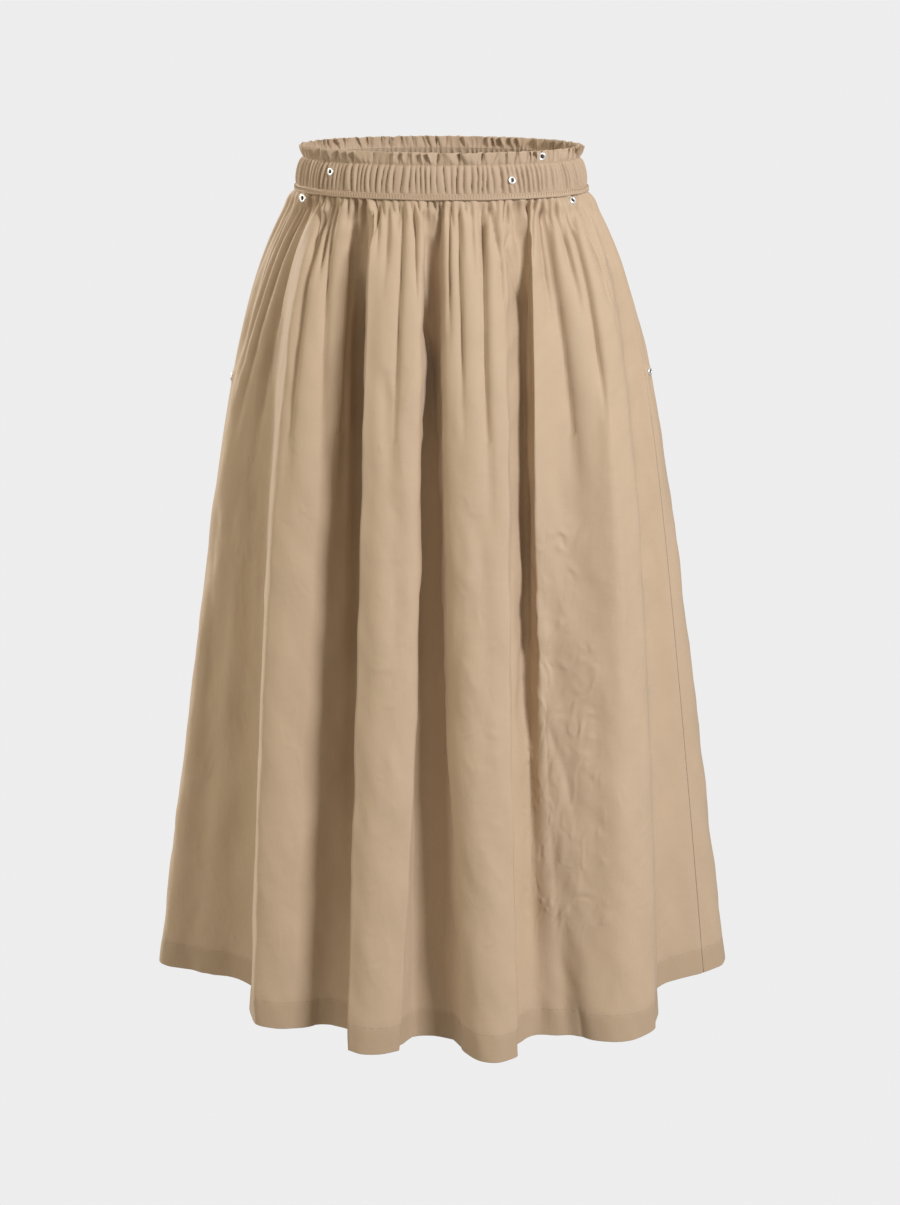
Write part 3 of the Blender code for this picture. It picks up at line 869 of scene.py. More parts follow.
BACK_CREASES = [
    *creases_of(
        Fold.VALLEY,
        (92, 91.4, 10, 290, 4.3, 7.6, 5.2), (97, 98.5, 2, 174, 5.2, 5.7, 3.8),
        (104.5, 105.5, 2, 348, 5.2, 9.5, 5.2), (110.5, 109, 1, 130, 5.2, 5.7, 3),
        (116.5, 118.6, 1, 218, 6.3, 6.6, 3.8), (124, 123, 2, 116, 4.6, 5.7, 3),
        (131, 133.5, 1, 304, 6, 9.5, 4.5), (138, 139.5, 1, 160, 7.1, 5.7, 3),
        (144.5, 143, 2, 102, 4.3, 4.9, 2.7), (162.5, 165, 1, 130, 5.2, 5.7, 3),
        (170, 172, 1, 188, 7.1, 5.7, 3), (178, 176, 2, 87, 4.3, 4.6, 2.5),
        (190, 191.5, 1, 261, 5.6, 7.6, 3.8), (197, 196, 1, 130, 5, 5.7, 3),
        (204, 206.5, 1, 203, 6.7, 5.7, 3.8), (212, 211, 2, 102, 4.3, 4.9, 2.7),
        (218.5, 220.5, 1, 290, 6, 9.5, 4.5), (226, 225, 1, 130, 5.2, 5.7, 3),
        (234, 236.5, 1, 218, 6, 6.6, 3.8), (241, 243.5, 2, 130, 5.2, 5.7, 3),
        (249, 248, 1, 319, 6, 9.5, 4.5), (256, 258, 2, 116, 4.6, 5.7, 3),
        (140, 143, 380, 424, 2, 4, 6), (208, 205, 430, 478, 2, 4, 6),
        (244, 247, 350, 392, 1.7, 4, 6),
    ),
    *creases_of(
        Fold.LAP_LEFT,
        (118.8, 119, 90, 1000, 3.7, 9, 4), (230, 230.4, 120, 1000, 3.4, 9, 4),
    ),
    *creases_of(
        Fold.LAP_RIGHT,
        (149.4, 149.8, 30, 1000, 4.1, 4, 9), (184.6, 184.9, 40, 1000, 4.1, 4, 9),
    ),
    *creases_of(
        Fold.SOFT,
        (156, 155, 1, 232, 4.6, 7.6, 3.8), (264, 264.5, 4, 232, 3.8, 7.6, 3.8),
        (126, 128, 300, 640, 2.6, 14, 16), (158, 160, 260, 560, 2.4, 12, 12),
        (193, 191, 340, 690, 2.6, 12, 14), (223, 225, 280, 600, 2.4, 12, 12),
        (257, 259, 330, 680, 2.6, 12, 14),
    ),
]


class CrumpleZone(NamedTuple):
    """A stretch of a panel with small crossing crumples: bearings at the waist, heights below the
    panel's top, how many crumples, their usual depth and length in millimetres, how far the finest
    ones show, their lean in degrees a millimetre, their reach to each side, how much depth and
    length vary, and how the finest ones fade towards the zone's ends and sides."""

    first_turn: float
    last_turn: float
    top: float
    foot: float
    count: int
    depth: float
    length: float
    bump: float
    lean: float = 0.09
    left: float = 3.4
    right: float = 5.4
    depth_scatter: float = 0.4
    length_scatter: float = 0.5
    above: float = 30.0
    beyond: float = 70.0
    ease_along: float = 22.0
    ease_across: float = 0.4

    def share(self, turn: np.ndarray, down: np.ndarray) -> np.ndarray:
        """How far the zone's finest crumples show.

        Args:
            turn: Bearings at the waist, one for each column.
            down: Millimetres below the panel's top, one for each row.

        Returns:
            Values from 0 to the zone's bump, for each row and column.
        """
        wide, tall = self.last_turn - self.first_turn, self.foot - self.top
        across = (turn - self.first_turn) * (self.last_turn - turn) / wide * self.ease_across
        along = (down - self.top + self.above) * (self.foot + self.beyond - down)
        along = along / tall / self.ease_along
        return self.bump * np.clip(across, 0, 1)[None, :] * np.clip(along, 0, 1)[:, None]

    def creases(self, seed: int) -> list[Crease]:
        """Strews the zone's crumples, valleys and ridges by turns.

        Args:
            seed: Picks another set of crumples.

        Returns:
            The crumples, each with its own place, lean, depth and length.
        """
        rows = []
        for i in range(self.count):
            place, drop, size, lean, sink = (
                scatter(i, seed + offset) for offset in (11, 13, 17, 19, 23)
            )
            turn = self.first_turn + (self.last_turn - self.first_turn) * (0.5 + 0.5 * place)
            top = self.top + (self.foot - self.top) * (0.5 + 0.5 * drop)
            length = self.length * (1.0 + self.length_scatter * size)
            to_turn = turn + length * self.lean * lean
            depth = self.depth * (1.0 + self.depth_scatter * sink)
            fold = Fold.VALLEY if i % 2 else Fold.RIDGE
            row = (turn, to_turn, top, top + length, depth, self.left, self.right)
            rows.append(Crease(*row, fold))
        return rows


FRONT_CRUMPLES = [
    CrumpleZone(31.0, 54.0, 300, 600, 46, 0.8, 46, 1.0),
    CrumpleZone(-72.0, -50.0, 240, 680, 26, 0.6, 74, 0.3),
    CrumpleZone(-48.0, -30.0, 200, 640, 14, 0.5, 70, 0.2),
    CrumpleZone(-21.0, -7.0, 130, 640, 18, 0.6, 54, 0.35),
    CrumpleZone(8.0, 26.0, 180, 600, 22, 0.7, 56, 0.4),
    CrumpleZone(54.0, 82.0, 130, 680, 26, 0.6, 80, 0.3),
]
BACK_CRUMPLES = [
    CrumpleZone(92.0, 130.0, 200, 660, 34, 0.7, 64, 0.35),
    CrumpleZone(138.0, 172.0, 240, 620, 34, 0.9, 50, 0.8),
    CrumpleZone(180.0, 226.0, 180, 660, 40, 0.7, 60, 0.5),
    CrumpleZone(232.0, 268.0, 220, 680, 30, 0.7, 66, 0.4),
]


class GatherRow(NamedTuple):
    """A row of small gathers under the tape, from seam to seam: how many, how far each strays, its
    usual foot and depth with their scatter, what every third is longer by, its lean in degrees,
    its top and its reach to each side in millimetres, and its four seeds."""

    count: int
    stray: float
    foot: float
    foot_scatter: float
    third: float
    depth: float
    depth_scatter: float
    lean: float
    top: float
    left: float
    right: float
    seeds: tuple[int, int, int, int]

    def creases(self, start: float, end: float, seed: int) -> list[Crease]:
        """Lays out the gathers.

        Args:
            start: Bearing of the first seam.
            end: Bearing of the last seam.
            seed: Picks another set of gathers.

        Returns:
            The gathers as short sharp creases.
        """
        rows = []
        for i in range(self.count):
            stray, reach, sink, lean = (scatter(i, seed + offset) for offset in self.seeds)
            turn = start + (end - start) * (i + 0.5 + self.stray * stray) / self.count
            foot = self.foot + self.foot_scatter * reach + (self.third if i % 3 == 0 else 0.0)
            depth = self.depth + self.depth_scatter * sink
            to_turn = turn + self.lean * lean
            row = (turn, to_turn, self.top, foot, depth, self.left, self.right)
            rows.append(Crease(*row, Fold.VALLEY))
        return rows


GATHER_ROWS = [
    GatherRow(50, 0.32, 17.0, 7.0, 14.0, 3.6, 1.1, 2.4, -6.0, 2.2, 1.4, (0, 3, 5, 7)),
    GatherRow(27, 0.42, 58.0, 26.0, 0.0, 2.9, 1.1, 3.6, -4.0, 4.2, 1.8, (31, 33, 35, 37)),
]


class Swell(NamedTuple):
    """A size that is whole at one place and fades away from it."""

    size: float
    reach: float

    def round(self, away: np.ndarray) -> np.ndarray:
        """Its rounded form at distances from the place."""
        return self.size * np.exp(-((away / self.reach) ** 2))

    def pointed(self, away: np.ndarray) -> np.ndarray:
        """Its pointed form at distances from the place."""
        return self.size * np.exp(-away / self.reach)


# how flat the cloth lies under an eyelet, and how far from it the flat place reaches
SEAT_GAP = 0.05 * MM
SEAT_FLAT = 3.6 * MM
SEAT_EASE = 9.0 * MM
SEAT_REACH = 14.0 * MM


def eyelet_frame(solid: bpy.types.Object) -> Matrix:
    """An eyelet's own frame: the middle of its back, with +Z out of the cloth.

    Args:
        solid: The eyelet's CAD node.

    Returns:
        The frame in metres.
    """
    corners = np.array([vertex.co for vertex in solid.data.vertices])
    middle = corners.mean(0)
    out = np.linalg.svd(corners - middle)[2][2]
    out *= np.sign(out @ np.array([middle[0], middle[1], 0.0]))
    back = middle + out * ((corners - middle) @ out).min()
    turn = Vector(out).to_track_quat("Z", "Y").to_matrix().to_4x4()
    return Matrix.Translation(Vector(back)) @ turn


def seated(points: np.ndarray, seats: list[Matrix]) -> np.ndarray:
    """Brings a panel's face to lie flat under each eyelet.

    Args:
        points: The outer face's points, as rows x columns x 3.
        seats: The frames of the eyelets.

    Returns:
        The points, eased onto the backs of the eyelets that they are near.
    """
    for seat in seats:
        turn, place = np.array(seat.to_3x3()), np.array(seat.translation)
        local = (points - place) @ turn
        radius = np.linalg.norm(local[..., :2], axis=2)
        ease = np.clip((SEAT_EASE - radius) / (SEAT_EASE - SEAT_FLAT), 0.0, 1.0)
        ease = ease * ease * (3 - 2 * ease) * (np.abs(local[..., 2]) < SEAT_REACH)
        local[..., 2] += ease * (-SEAT_GAP - local[..., 2])
        points = local @ turn.T + place
    return points


@dataclass
class ClothSheet:
    """A grid of points on a surface that creases can be pressed into.

    A crease deepens over its rise, sways about its line, widens downwards and fades out at its
    foot. Sizes are in millimetres, and the others are shares of the crease's length or reach.
    """

    points: np.ndarray
    bearings: np.ndarray
    down: np.ndarray
    short: float = 60.0
    short_rise: float = 14.0
    rise_share: float = 0.25
    sharp_rise: float = 44.0
    rounded_rise: float = 150.0
    sway: float = 0.00144
    sway_bends: float = 9.0
    top_reach: float = 0.75
    foot_reach: float = 1.25
    fade: float = 2.2
    fade_power: float = 1.3
    lap_edge: float = 6.0

    def __post_init__(self) -> None:
        """Starts with flat cloth and measures its rows."""
        self.height = np.zeros(self.points.shape[:2])
        steps = np.linalg.norm(np.diff(self.points, axis=1), axis=2)
        self.across = np.concatenate([np.zeros((len(steps), 1)), np.cumsum(steps, 1)], 1)

    @staticmethod
    def normals(points: np.ndarray) -> np.ndarray:
        """Unit vectors out of the cloth at each point."""
        out = np.cross(np.gradient(points, axis=0), np.gradient(points, axis=1))
        return out / np.linalg.norm(out, axis=2, keepdims=True)

    def press(self, crease: Crease) -> None:
        """Adds one crease to the cloth's height.

        Args:
            crease: The crease, with its bearings at the waist and its sizes in millimetres.
        """
        length = crease.foot - crease.top
        rounded = crease.fold in (Fold.SOFT, Fold.SWELL)
        rise = min(self.rise_share * length, self.rounded_rise if rounded else self.sharp_rise)
        if min(crease.top, length) < self.short:
            rise = self.short_rise
        for row, down in enumerate(self.down / MM):
            share = (down - crease.top) / length
            if not 0.0 < share < 1.0:
                continue
            turn = crease.from_turn + (crease.to_turn - crease.from_turn) * share
            centre = np.interp(turn, self.bearings, self.across[row])
            bend = math.sin(self.sway_bends * share + crease.from_turn)
            centre += self.sway * MM * length * bend
            away = (self.across[row] - centre) / MM
            reach = np.where(away < 0.0, crease.left, crease.right)
            reach = reach * (self.top_reach + (self.foot_reach - self.top_reach) * share)
            risen = min(1.0, (down - crease.top) / rise)
            risen *= 3.0 - 2.0 * risen
            fading = min(1.0, (1.0 - share) * self.fade) ** self.fade_power
            strength = crease.depth * MM * risen * fading
            self.height[row] += strength * self.profile(crease.fold, away / reach)

    def profile(self, fold: Fold, away: np.ndarray) -> np.ndarray:
        """Shapes the cloth across a crease.

        Args:
            fold: How the cloth stands across the crease's line.
            away: Distances from the line, as shares of its reach.

        Returns:
            The cloth's height, for a depth of 1.
        """
        if fold in (Fold.SOFT, Fold.SWELL):
            round_form = np.exp(-(away**2))
            return round_form if fold is Fold.SWELL else -round_form
        cusp = np.exp(-np.abs(away))
        if fold in (Fold.RIDGE, Fold.VALLEY):
            return cusp if fold is Fold.RIDGE else -cusp
        over = cusp * np.where(away < 0.0, 1.0, -1.0) * np.tanh(np.abs(away) * self.lap_edge)
        return over if fold is Fold.LAP_LEFT else -over

    def raised(self) -> np.ndarray:
        """The points, moved out by the cloth's height."""
        return self.points + self.normals(self.points) * self.height[..., None]


# panels


@dataclass
class Panel:
    """One skirt panel, cut as a trapezoid, gathered into the tape and turned up at the hem.

    The rows and columns lie closer where a Swell says so, and each relief gives the size, length
    and seed of a set of waves in the cloth.
    """

    form: SkirtForm
    name: str
    first_line: str
    last_line: str
    creases: list[Crease]
    crumples: list[CrumpleZone]
    seed: int
    seats: list[Matrix]
    cut_top: float = 0.600
    cut_hem: float = 1.050
    columns: int = 453
    gather_rows: int = 58
    lower_rows: int = 80
    gather_zone: float = 200.0 * MM
    by_hem: float = 0.12 / MM
    by_turn: float = 0.80
    long_crease: float = 400.0
    at_creases: Swell = Swell(0.75 / MM, 6.0 * MM)
    at_seams: Swell = Swell(1.8 / MM, 2.6 * MM)
    at_tape: Swell = Swell(1.6, 30.0 * MM)
    at_stitches: Swell = Swell(1.8, 5.0 * MM)
    at_edge: Swell = Swell(18.0, 1.0 * MM)
    cloth: float = 0.5 * MM
    layer_gap: float = 0.15 * MM
    seam_gap: float = 0.08 * MM
    seam_turn: float = 9.0 * MM
    seam_shares: tuple[float, ...] = (1.0, 0.7, 0.35, 0.1)
    hem_turn: float = 25.0 * MM
    hem_shares: tuple[float, ...] = (0.02, 0.25, 0.5, 0.75, 0.97)
    hem_edge: float = 0.8 * MM
    under_tape: float = 5.2 * MM
    relief_start: float = 120.0 * MM
    reliefs: tuple[tuple[float, float, int], ...] = (
        (0.85 * MM, 62.0 * MM, 0),
        (0.28 * MM, 24.0 * MM, 4),
    )
    calm_at_seam: float = 7.0 * MM
    puff: Swell = Swell(1.6 * MM, 7.0 * MM)
    tuck: Swell = Swell(2.6 * MM, 1.8 * MM)
    tuck_top: float = -1.6 * MM
    stitch_pull: Swell = Swell(1.0 * MM, 2.2 * MM)
    pull_depth: float = 0.30
    pull_scatter: float = 0.16
    pull_pitch: float = 7.0 * MM
    pull_drift: float = 50.0 * MM
    seam_dip: Swell = Swell(0.35 * MM, 1.8 * MM)
    stitch_rows: tuple[float, ...] = (-1.5 * MM, 0.0, 1.5 * MM)
    stitch_lift: float = 0.06 * MM

    def hem_columns(self) -> np.ndarray:
        """Spaces the columns: even by hem and waist, and close at long creases and at the seams.

        Returns:
            Distances along the hem.
        """
        start = self.form.start_of(self.first_line)
        end = self.form.start_of(self.last_line) if self.last_line else self.form.knots[-1]
        fine = np.linspace(start, end, 6000)
        turn = self.form.bearing(fine)
        near = self.by_hem + self.at_seams.pointed(np.minimum(fine - start, end - fine))
        for crease in self.creases:
            if crease.foot - crease.top > self.long_crease:
                edge = np.interp((crease.from_turn + crease.to_turn) / 2, turn, fine)
                near += self.at_creases.round(fine - edge)
        total = running_total(near * np.gradient(fine) + self.by_turn * np.abs(np.gradient(turn)))
        return np.interp(np.linspace(0.0, total[-1], self.columns), total, fine)

    def drops(self) -> np.ndarray:
        """Spaces the rows: closest at the gathers, at the hem's stitches and at the lower edge.

        Returns:
            Distances below the panel's top.
        """
        length = self.form.length
        fine = np.linspace(-self.under_tape, length, 4000)
        weight = 1.0 + self.at_tape.pointed(np.clip(fine, 0, None))
        weight += self.at_stitches.round(fine - length + self.hem_turn)
        weight += self.at_edge.pointed(length - fine)
        total = running_total(weight)
        split = np.interp(self.gather_zone, fine, total)
        upper = np.linspace(0.0, split, self.gather_rows)
        lower = np.linspace(split, total[-1], self.lower_rows + 1)[1:]
        return np.interp(np.concatenate([upper, lower]), total, fine)

    def outer(self, at: np.ndarray, down: np.ndarray) -> tuple[np.ndarray, np.ndarray]:
        """The outer face of the panel, with its gathers, creases, unevenness and hem.

        Args:
            at: Distances along the hem, one for each column.
            down: Distances below the panel's top, one for each row.

        Returns:
            The points and the unit vectors out of the cloth.
        """
        bearings = self.form.bearing(at)
        sheet = ClothSheet(self.form.surface(at, down), bearings, down)
        folds = [
            crease for row in GATHER_ROWS for crease in row.creases(*bearings[[0, -1]], self.seed)
        ]
        folds += self.creases
        for k, zone in enumerate(self.crumples):
            folds += zone.creases(self.seed + 3 * k)
        for crease in folds:
            sheet.press(crease)
        across, below = sheet.across, down[:, None]
        lower = np.clip(below / self.relief_start, 0.0, 1.0)
        for size, length, offset in self.reliefs:
            sheet.height += size * lower * drift(across, below, length, self.seed + offset)
        edge = np.minimum(across, across[:, -1:] - across)
        sheet.height *= 1.0 - np.exp(-((edge / self.calm_at_seam) ** 2))
        sheet.height += self.puff.round(below - self.puff.reach)
        sheet.height -= self.tuck.pointed(np.clip(below - self.tuck_top, 0, None))
        strays = 2 * drift(across, below, self.pull_drift, 9)
        waves = np.sin(TAU * across / self.pull_pitch + strays)
        pull = self.stitch_pull.round(below - self.form.length + self.hem_turn)
        sheet.height -= pull * (self.pull_depth + self.pull_scatter * waves)
        sheet.height -= self.seam_dip.pointed(edge)
        points = seated(sheet.raised(), self.seats)
        for end, inner in ((0, 1), (-1, -2)):
            inwards = points[:, inner] - points[:, end]
            inwards /= np.linalg.norm(inwards, axis=1, keepdims=True)
            points[:, end] += inwards * self.seam_gap / 2
        return points, sheet.normals(points)

    def build(self, cloth: bpy.types.Material) -> bpy.types.Object:
        """Builds the panel as a thin closed shell with its seam allowances and hem turned inside.

        Args:
            cloth: The panel's material.

        Returns:
            The panel.
        """
        at, down = self.hem_columns(), self.drops()
        points, out = self.outer(at, down)
        length, layer = self.form.length, 2 * self.cloth + self.layer_gap

        folded = nearest(down, [length - share * self.hem_turn for share in self.hem_shares])
        rows = list(range(len(down))) + folded
        down = np.concatenate([down, length + self.hem_turn * np.array(self.hem_shares)])
        spans = np.linalg.norm(np.diff(points[rows], axis=1), axis=2).mean(0)
        run = np.concatenate([[0.0], np.cumsum(spans)])
        turns_in = self.seam_turn * np.array(self.seam_shares)
        left, right = nearest(run, turns_in), nearest(run[-1] - run, turns_in[::-1])
        columns = left + list(range(len(at))) + right

        inset = np.zeros((len(rows), len(columns)))
        inset[-len(folded) :] += layer
        inset[:, : len(left)] += layer
        inset[:, -len(right) :] += layer
        grid = np.ix_(rows, columns)
        points = points[grid] - out[grid] * inset[..., None]

        share = (at - at[0]) / (at[-1] - at[0]) - 0.5
        beyond = turns_in / self.cut_hem
        share = np.concatenate([share[0] - beyond, share, share[-1] + beyond[::-1]])
        wide = self.cut_top + (self.cut_hem - self.cut_top) * np.clip(down / length, 0, 1)
        cut = np.stack(np.broadcast_arrays(share * wide[:, None], -down[:, None]), 2)
        # painted shade: how far each row lies in the doubled hem, which the material darkens
        doubled_shade = 0.5 + 0.5 * np.tanh((down - (length - self.hem_turn)) / self.hem_edge)
        turns = self.form.bearing(at)[columns]
        values = {
            "hem_shade_mask": np.broadcast_to(doubled_shade[:, None], inset.shape),
            "crumple": sum(zone.share(turns, down / MM) for zone in self.crumples),
        }
        piece = thinned_mesh(self.name + "_grid", points, cut, values, self.gather_rows)
        piece.data.materials.append(cloth)
        wall = piece.modifiers.new("cloth", "SOLIDIFY")
        wall.thickness = self.cloth
        wall.offset = -1.0
        return plain_mesh(piece, self.name)

    def hem_path(self) -> np.ndarray:
        """Follows the line of the hem's stitches on the panel's outer face.

        Returns:
            The line's points.
        """
        down = self.form.length - self.hem_turn + np.array(self.stitch_rows)
        points, out = self.outer(self.hem_columns(), down)
        return points[1] + out[1] * self.stitch_lift


# waistband and tape


class BandStation(NamedTuple):
    """A place on the band's section: height, half-width, and how far ribs, ruffles and lift reach,
    in millimetres."""

    height: float
    half_width: float
    rib: float
    ruffle: float
    lift: float


BAND_STATIONS = [  # up the inside and down the outside
    BandStation(*row)
    for row in (
        (-13.0, 127.9, 0.30, 0.0, 0.0), (-11.5, 127.6, 0.60, 0.0, 0.0),
        (-7.0, 126.6, 1.00, 0.0, 0.0), (-1.0, 125.4, 1.10, 0.0, 0.0),
        (5.0, 124.0, 1.00, 0.0, 0.0), (9.5, 122.6, 0.75, 0.1, 0.0), (11.6, 122.3, 0.35, 0.3, 0.0),
        (13.4, 122.3, 0.60, 0.8, 0.1), (16.0, 122.6, 0.40, 2.0, 0.1),
        (19.5, 122.9, 0.20, 2.9, 0.3), (22.2, 123.0, 0.10, 3.4, 0.5),
        (22.7, 123.5, 0.10, 3.5, 0.5), (22.2, 124.0, 0.10, 3.4, 0.5),
        (19.5, 124.0, 0.20, 2.9, 0.3), (16.0, 123.9, 0.45, 2.0, 0.1),
        (13.4, 123.7, 0.70, 0.8, 0.1), (11.8, 123.5, 0.40, 0.3, 0.0),
        (10.0, 124.5, 1.35, 0.1, 0.0), (6.0, 126.2, 1.75, 0.0, 0.0), (0.0, 127.8, 1.85, 0.0, 0.0),
        (-6.0, 128.8, 1.75, 0.0, 0.0), (-10.4, 129.4, 1.30, 0.0, 0.0),
        (-12.6, 129.8, 0.60, 0.0, 0.0), (-13.6, 129.4, 0.30, 0.0, 0.0),
        (-13.6, 128.4, 0.30, 0.0, 0.0),
    )
]


class Wander(NamedTuple):
    """A wave by which gathers crowd and spread round the waist: its size, how often it goes round,
    its phase, and how it climbs with height."""

    size: float
    times: int
    phase: float
    climb: float = 0.0

    def at(self, angle: np.ndarray, height: np.ndarray | float = 0.0) -> np.ndarray:
        """The wave's value at bearings in radians and heights in metres."""
        return self.size * np.sin(self.times * angle + self.phase + self.climb * height)


RIB_WANDERS = [
    Wander(0.22, 17, 1.0),
    Wander(0.17, 29, 2.3),
    Wander(0.14, 11, 0.0, 90.0),
    Wander(0.07, 37, 0.0, -130.0),
]
RUFFLE_WANDERS = [Wander(2.2, 7, 0.6), Wander(1.7, 13, 2.0), Wander(0.9, 31, 0.8)]
RUFFLE_CLIMB = Wander(95.0, 9, 0.4)
RUFFLE_SIZES = [Wander(0.22, 5, 0.4), Wander(0.30, 23, 1.7)]


def whole_turn(columns: int) -> np.ndarray:
    """Bearings of even columns round the waist, from the middle of the back."""
    return 360.0 * np.arange(columns) / columns - 180.0


@dataclass
class Waistband:
    """A strip folded over the elastic, stitched down into a frill above a ribbed casing."""

    form: SkirtForm
    seats: list[Matrix]
    ribs: int = 146
    rib_scatter: float = 0.58
    rib_crest: float = 0.48
    rib_fade: float = 0.5
    ruffles: int = 58
    ruffle_size: float = 1.06
    ruffle_height: float = 1.85
    ruffle_crest: float = 2.4
    ruffle_twist: float = 0.25
    ruffle_fall: float = 0.6
    columns: int = 1056
    notch_turn: float = 57.5
    notch_width: float = 0.9
    notch_depth: float = 3.4 * MM
    notch_drop: float = 2.2 * MM
    notch_ruffle: float = 2.9 * MM
    lean: float = 0.62
    lean_ruffle: float = 3.4 * MM
    ragged: float = 0.8
    ragged_length: float = 9.0 * MM
    flat_reach: float = 5.2 * MM
    mean_half: float = 128.0 * MM
    stitch_height: float = 11.8 * MM
    stitch_lines: tuple[tuple[float, float], ...] = (
        (123.75 * MM, 0.35 * MM),
        (122.15 * MM, 0.30 * MM),
    )
    strip: tuple[float, float] = (1.000, 0.0365)

    def gathers(self, turn: np.ndarray, height: np.ndarray) -> np.ndarray:
        """Ribs of the casing from -1 in a crease to 1 on a crest.

        Args:
            turn: Bearings in degrees, one for each column.
            height: Heights in metres, one for each row.

        Returns:
            One value for each row and column.
        """
        angle, rise = np.radians(turn)[None, :], height[:, None]
        count = self.ribs * turn[None, :] / 360.0
        for wander in RIB_WANDERS:
            count = count + wander.at(angle, rise)
        arch = np.sin(math.pi * (0.5 - np.abs((count % 1.0) - 0.5)))
        size = self.rib_scatter * scatter(np.floor(count), 2)
        return (2.0 * arch**self.rib_crest - 1.0) * (1.0 + size * arch**self.rib_fade)

    def waves(self, turn: np.ndarray, height: np.ndarray) -> tuple[np.ndarray, np.ndarray]:
        """Ruffles of the frill.

        Args:
            turn: Bearings in degrees, one for each column.
            height: Heights in metres, one for each row.

        Returns:
            How far they stand outwards and sideways, from about -1 to 1.
        """
        angle = np.radians(turn)[None, :]
        count = self.ruffles * angle + RUFFLE_CLIMB.at(angle) * height[:, None]
        for wander in RUFFLE_WANDERS:
            count = count + wander.at(angle)
        arch = np.sin(math.pi * ((count / TAU) % 1.0))
        wave = self.ruffle_height * (1.0 - np.exp(-self.ruffle_crest * arch)) - 1.0
        wave = wave + self.ruffle_twist * np.sin(2 * count + 1.1)
        size = self.ruffle_size + sum(wander.at(angle) for wander in RUFFLE_SIZES)
        return wave * size, np.sin(count + 0.9 + 0.8 * np.sin(5 * angle)) * size

    def build(self, cloth: bpy.types.Material) -> bpy.types.Object:
        """Builds the band as one closed ring.

        Args:
            cloth: The band's material.

        Returns:
            The band.
        """
        section = closed_curve(np.array(BAND_STATIONS), 2) * MM
        turn = whole_turn(self.columns)
        height, half = section[:, 0], section[:, 1]
        rib, ruffle, lift = (section[:, k][:, None] for k in (2, 3, 4))
        waves, lean = self.waves(turn, height)
        out = rib * self.gathers(turn, height) + ruffle * waves
        notch = np.exp(-(((turn[None, :] - self.notch_turn) / self.notch_width) ** 2))
        notch = notch * ruffle / self.notch_ruffle
        out = out - self.notch_depth * notch
        for seat in self.seats:
            out = self.flattened(out, turn, height, np.array(seat.translation))
        shape, away = self.form.round_waist(turn)
        beside = np.stack([-away[:, 1], away[:, 0]], 1)
        sideways = self.lean * ruffle**2 / self.lean_ruffle * lean
        plan = shape[None] * half[:, None, None] + away[None] * out[..., None]
        plan = plan + beside[None] * sideways[..., None]
        ragged = self.ragged * drift(turn[None, :] * 2.2 * MM, 0.0, self.ragged_length, 5)
        fall = lift * (waves**2 * self.ruffle_fall - ragged)
        rise = height[:, None] - fall - self.notch_drop * notch
        points = np.concatenate([plan, rise[..., None]], 2)
        steps = np.linalg.norm(np.diff(section[:, :2], axis=0, append=section[:1, :2]), axis=1)
        around = np.arange(self.columns) / self.columns * self.strip[0]
        along = steps[0] - np.cumsum(steps)
        cut = np.stack(np.broadcast_arrays(around[None, :], along[:, None]), 2)
        piece = ring_mesh("waistband_cloth", points, cut)
        piece.data.materials.append(cloth)
        return piece

    def flattened(
        self, out: np.ndarray, turn: np.ndarray, height: np.ndarray, place: np.ndarray
    ) -> np.ndarray:
        """Flattens the band's gathers under an eyelet.

        Args:
            out: How far each point stands out, as rows x columns.
            turn: Bearings in degrees, one for each column.
            height: Heights, one for each row.
            place: The middle of the eyelet's back.

        Returns:
            The new distances.
        """
        outside = sorted((s.height, s.half_width) for s in BAND_STATIONS[12:-1])
        level, half = (np.array(column) * MM for column in zip(*outside))
        oval = self.form.oval
        angle = math.atan2(place[0], -place[1] / oval)
        beyond = math.hypot(place[0], place[1] / oval) - np.interp(place[2], level, half)
        pace = math.hypot(math.cos(angle), oval * math.sin(angle)) * self.mean_half
        lift = beyond * oval / math.hypot(oval * math.sin(angle), math.cos(angle)) - SEAT_GAP
        across = (np.radians(turn)[None, :] - angle) * pace
        distance = np.hypot(across, height[:, None] - place[2])
        ease = np.exp(-((distance / self.flat_reach) ** 4))
        return out * (1.0 - ease) + lift * ease

    def stitch_path(self, half_width: float, rib: float) -> np.ndarray:
        """A line of stitches round the band.

        Args:
            half_width: Half-width of the oval there.
            rib: How far the ribs reach there.

        Returns:
            The line's points, closed by its last.
        """
        turn = np.linspace(-180.0, 180.0, 1441)
        out = rib * self.gathers(turn, np.array([self.stitch_height]))[0]
        shape, away = self.form.round_waist(turn)
        plan = shape * half_width + away * out[:, None]
        return np.column_stack([plan, np.full(len(turn), self.stitch_height)])


class TapeStation(NamedTuple):
    """A place on the tape's section: height and half-width, in millimetres."""

    height: float
    half_width: float


TAPE_STATIONS = [  # up the inside and down the outside
    TapeStation(*row)
    for row in (
        (-17.0, 131.0), (-15.0, 130.6), (-12.8, 130.2), (-12.1, 130.3), (-12.4, 130.9),
        (-13.1, 131.5), (-14.2, 132.1), (-15.6, 132.5), (-16.8, 132.7), (-17.4, 132.4),
        (-17.4, 131.6),
    )
]
TAPE_RIB_LINE = TapeStation(-14.8, 132.25)
TAPE_STITCH_LINES = [TapeStation(-12.75, 131.75), TapeStation(-16.7, 132.78)]


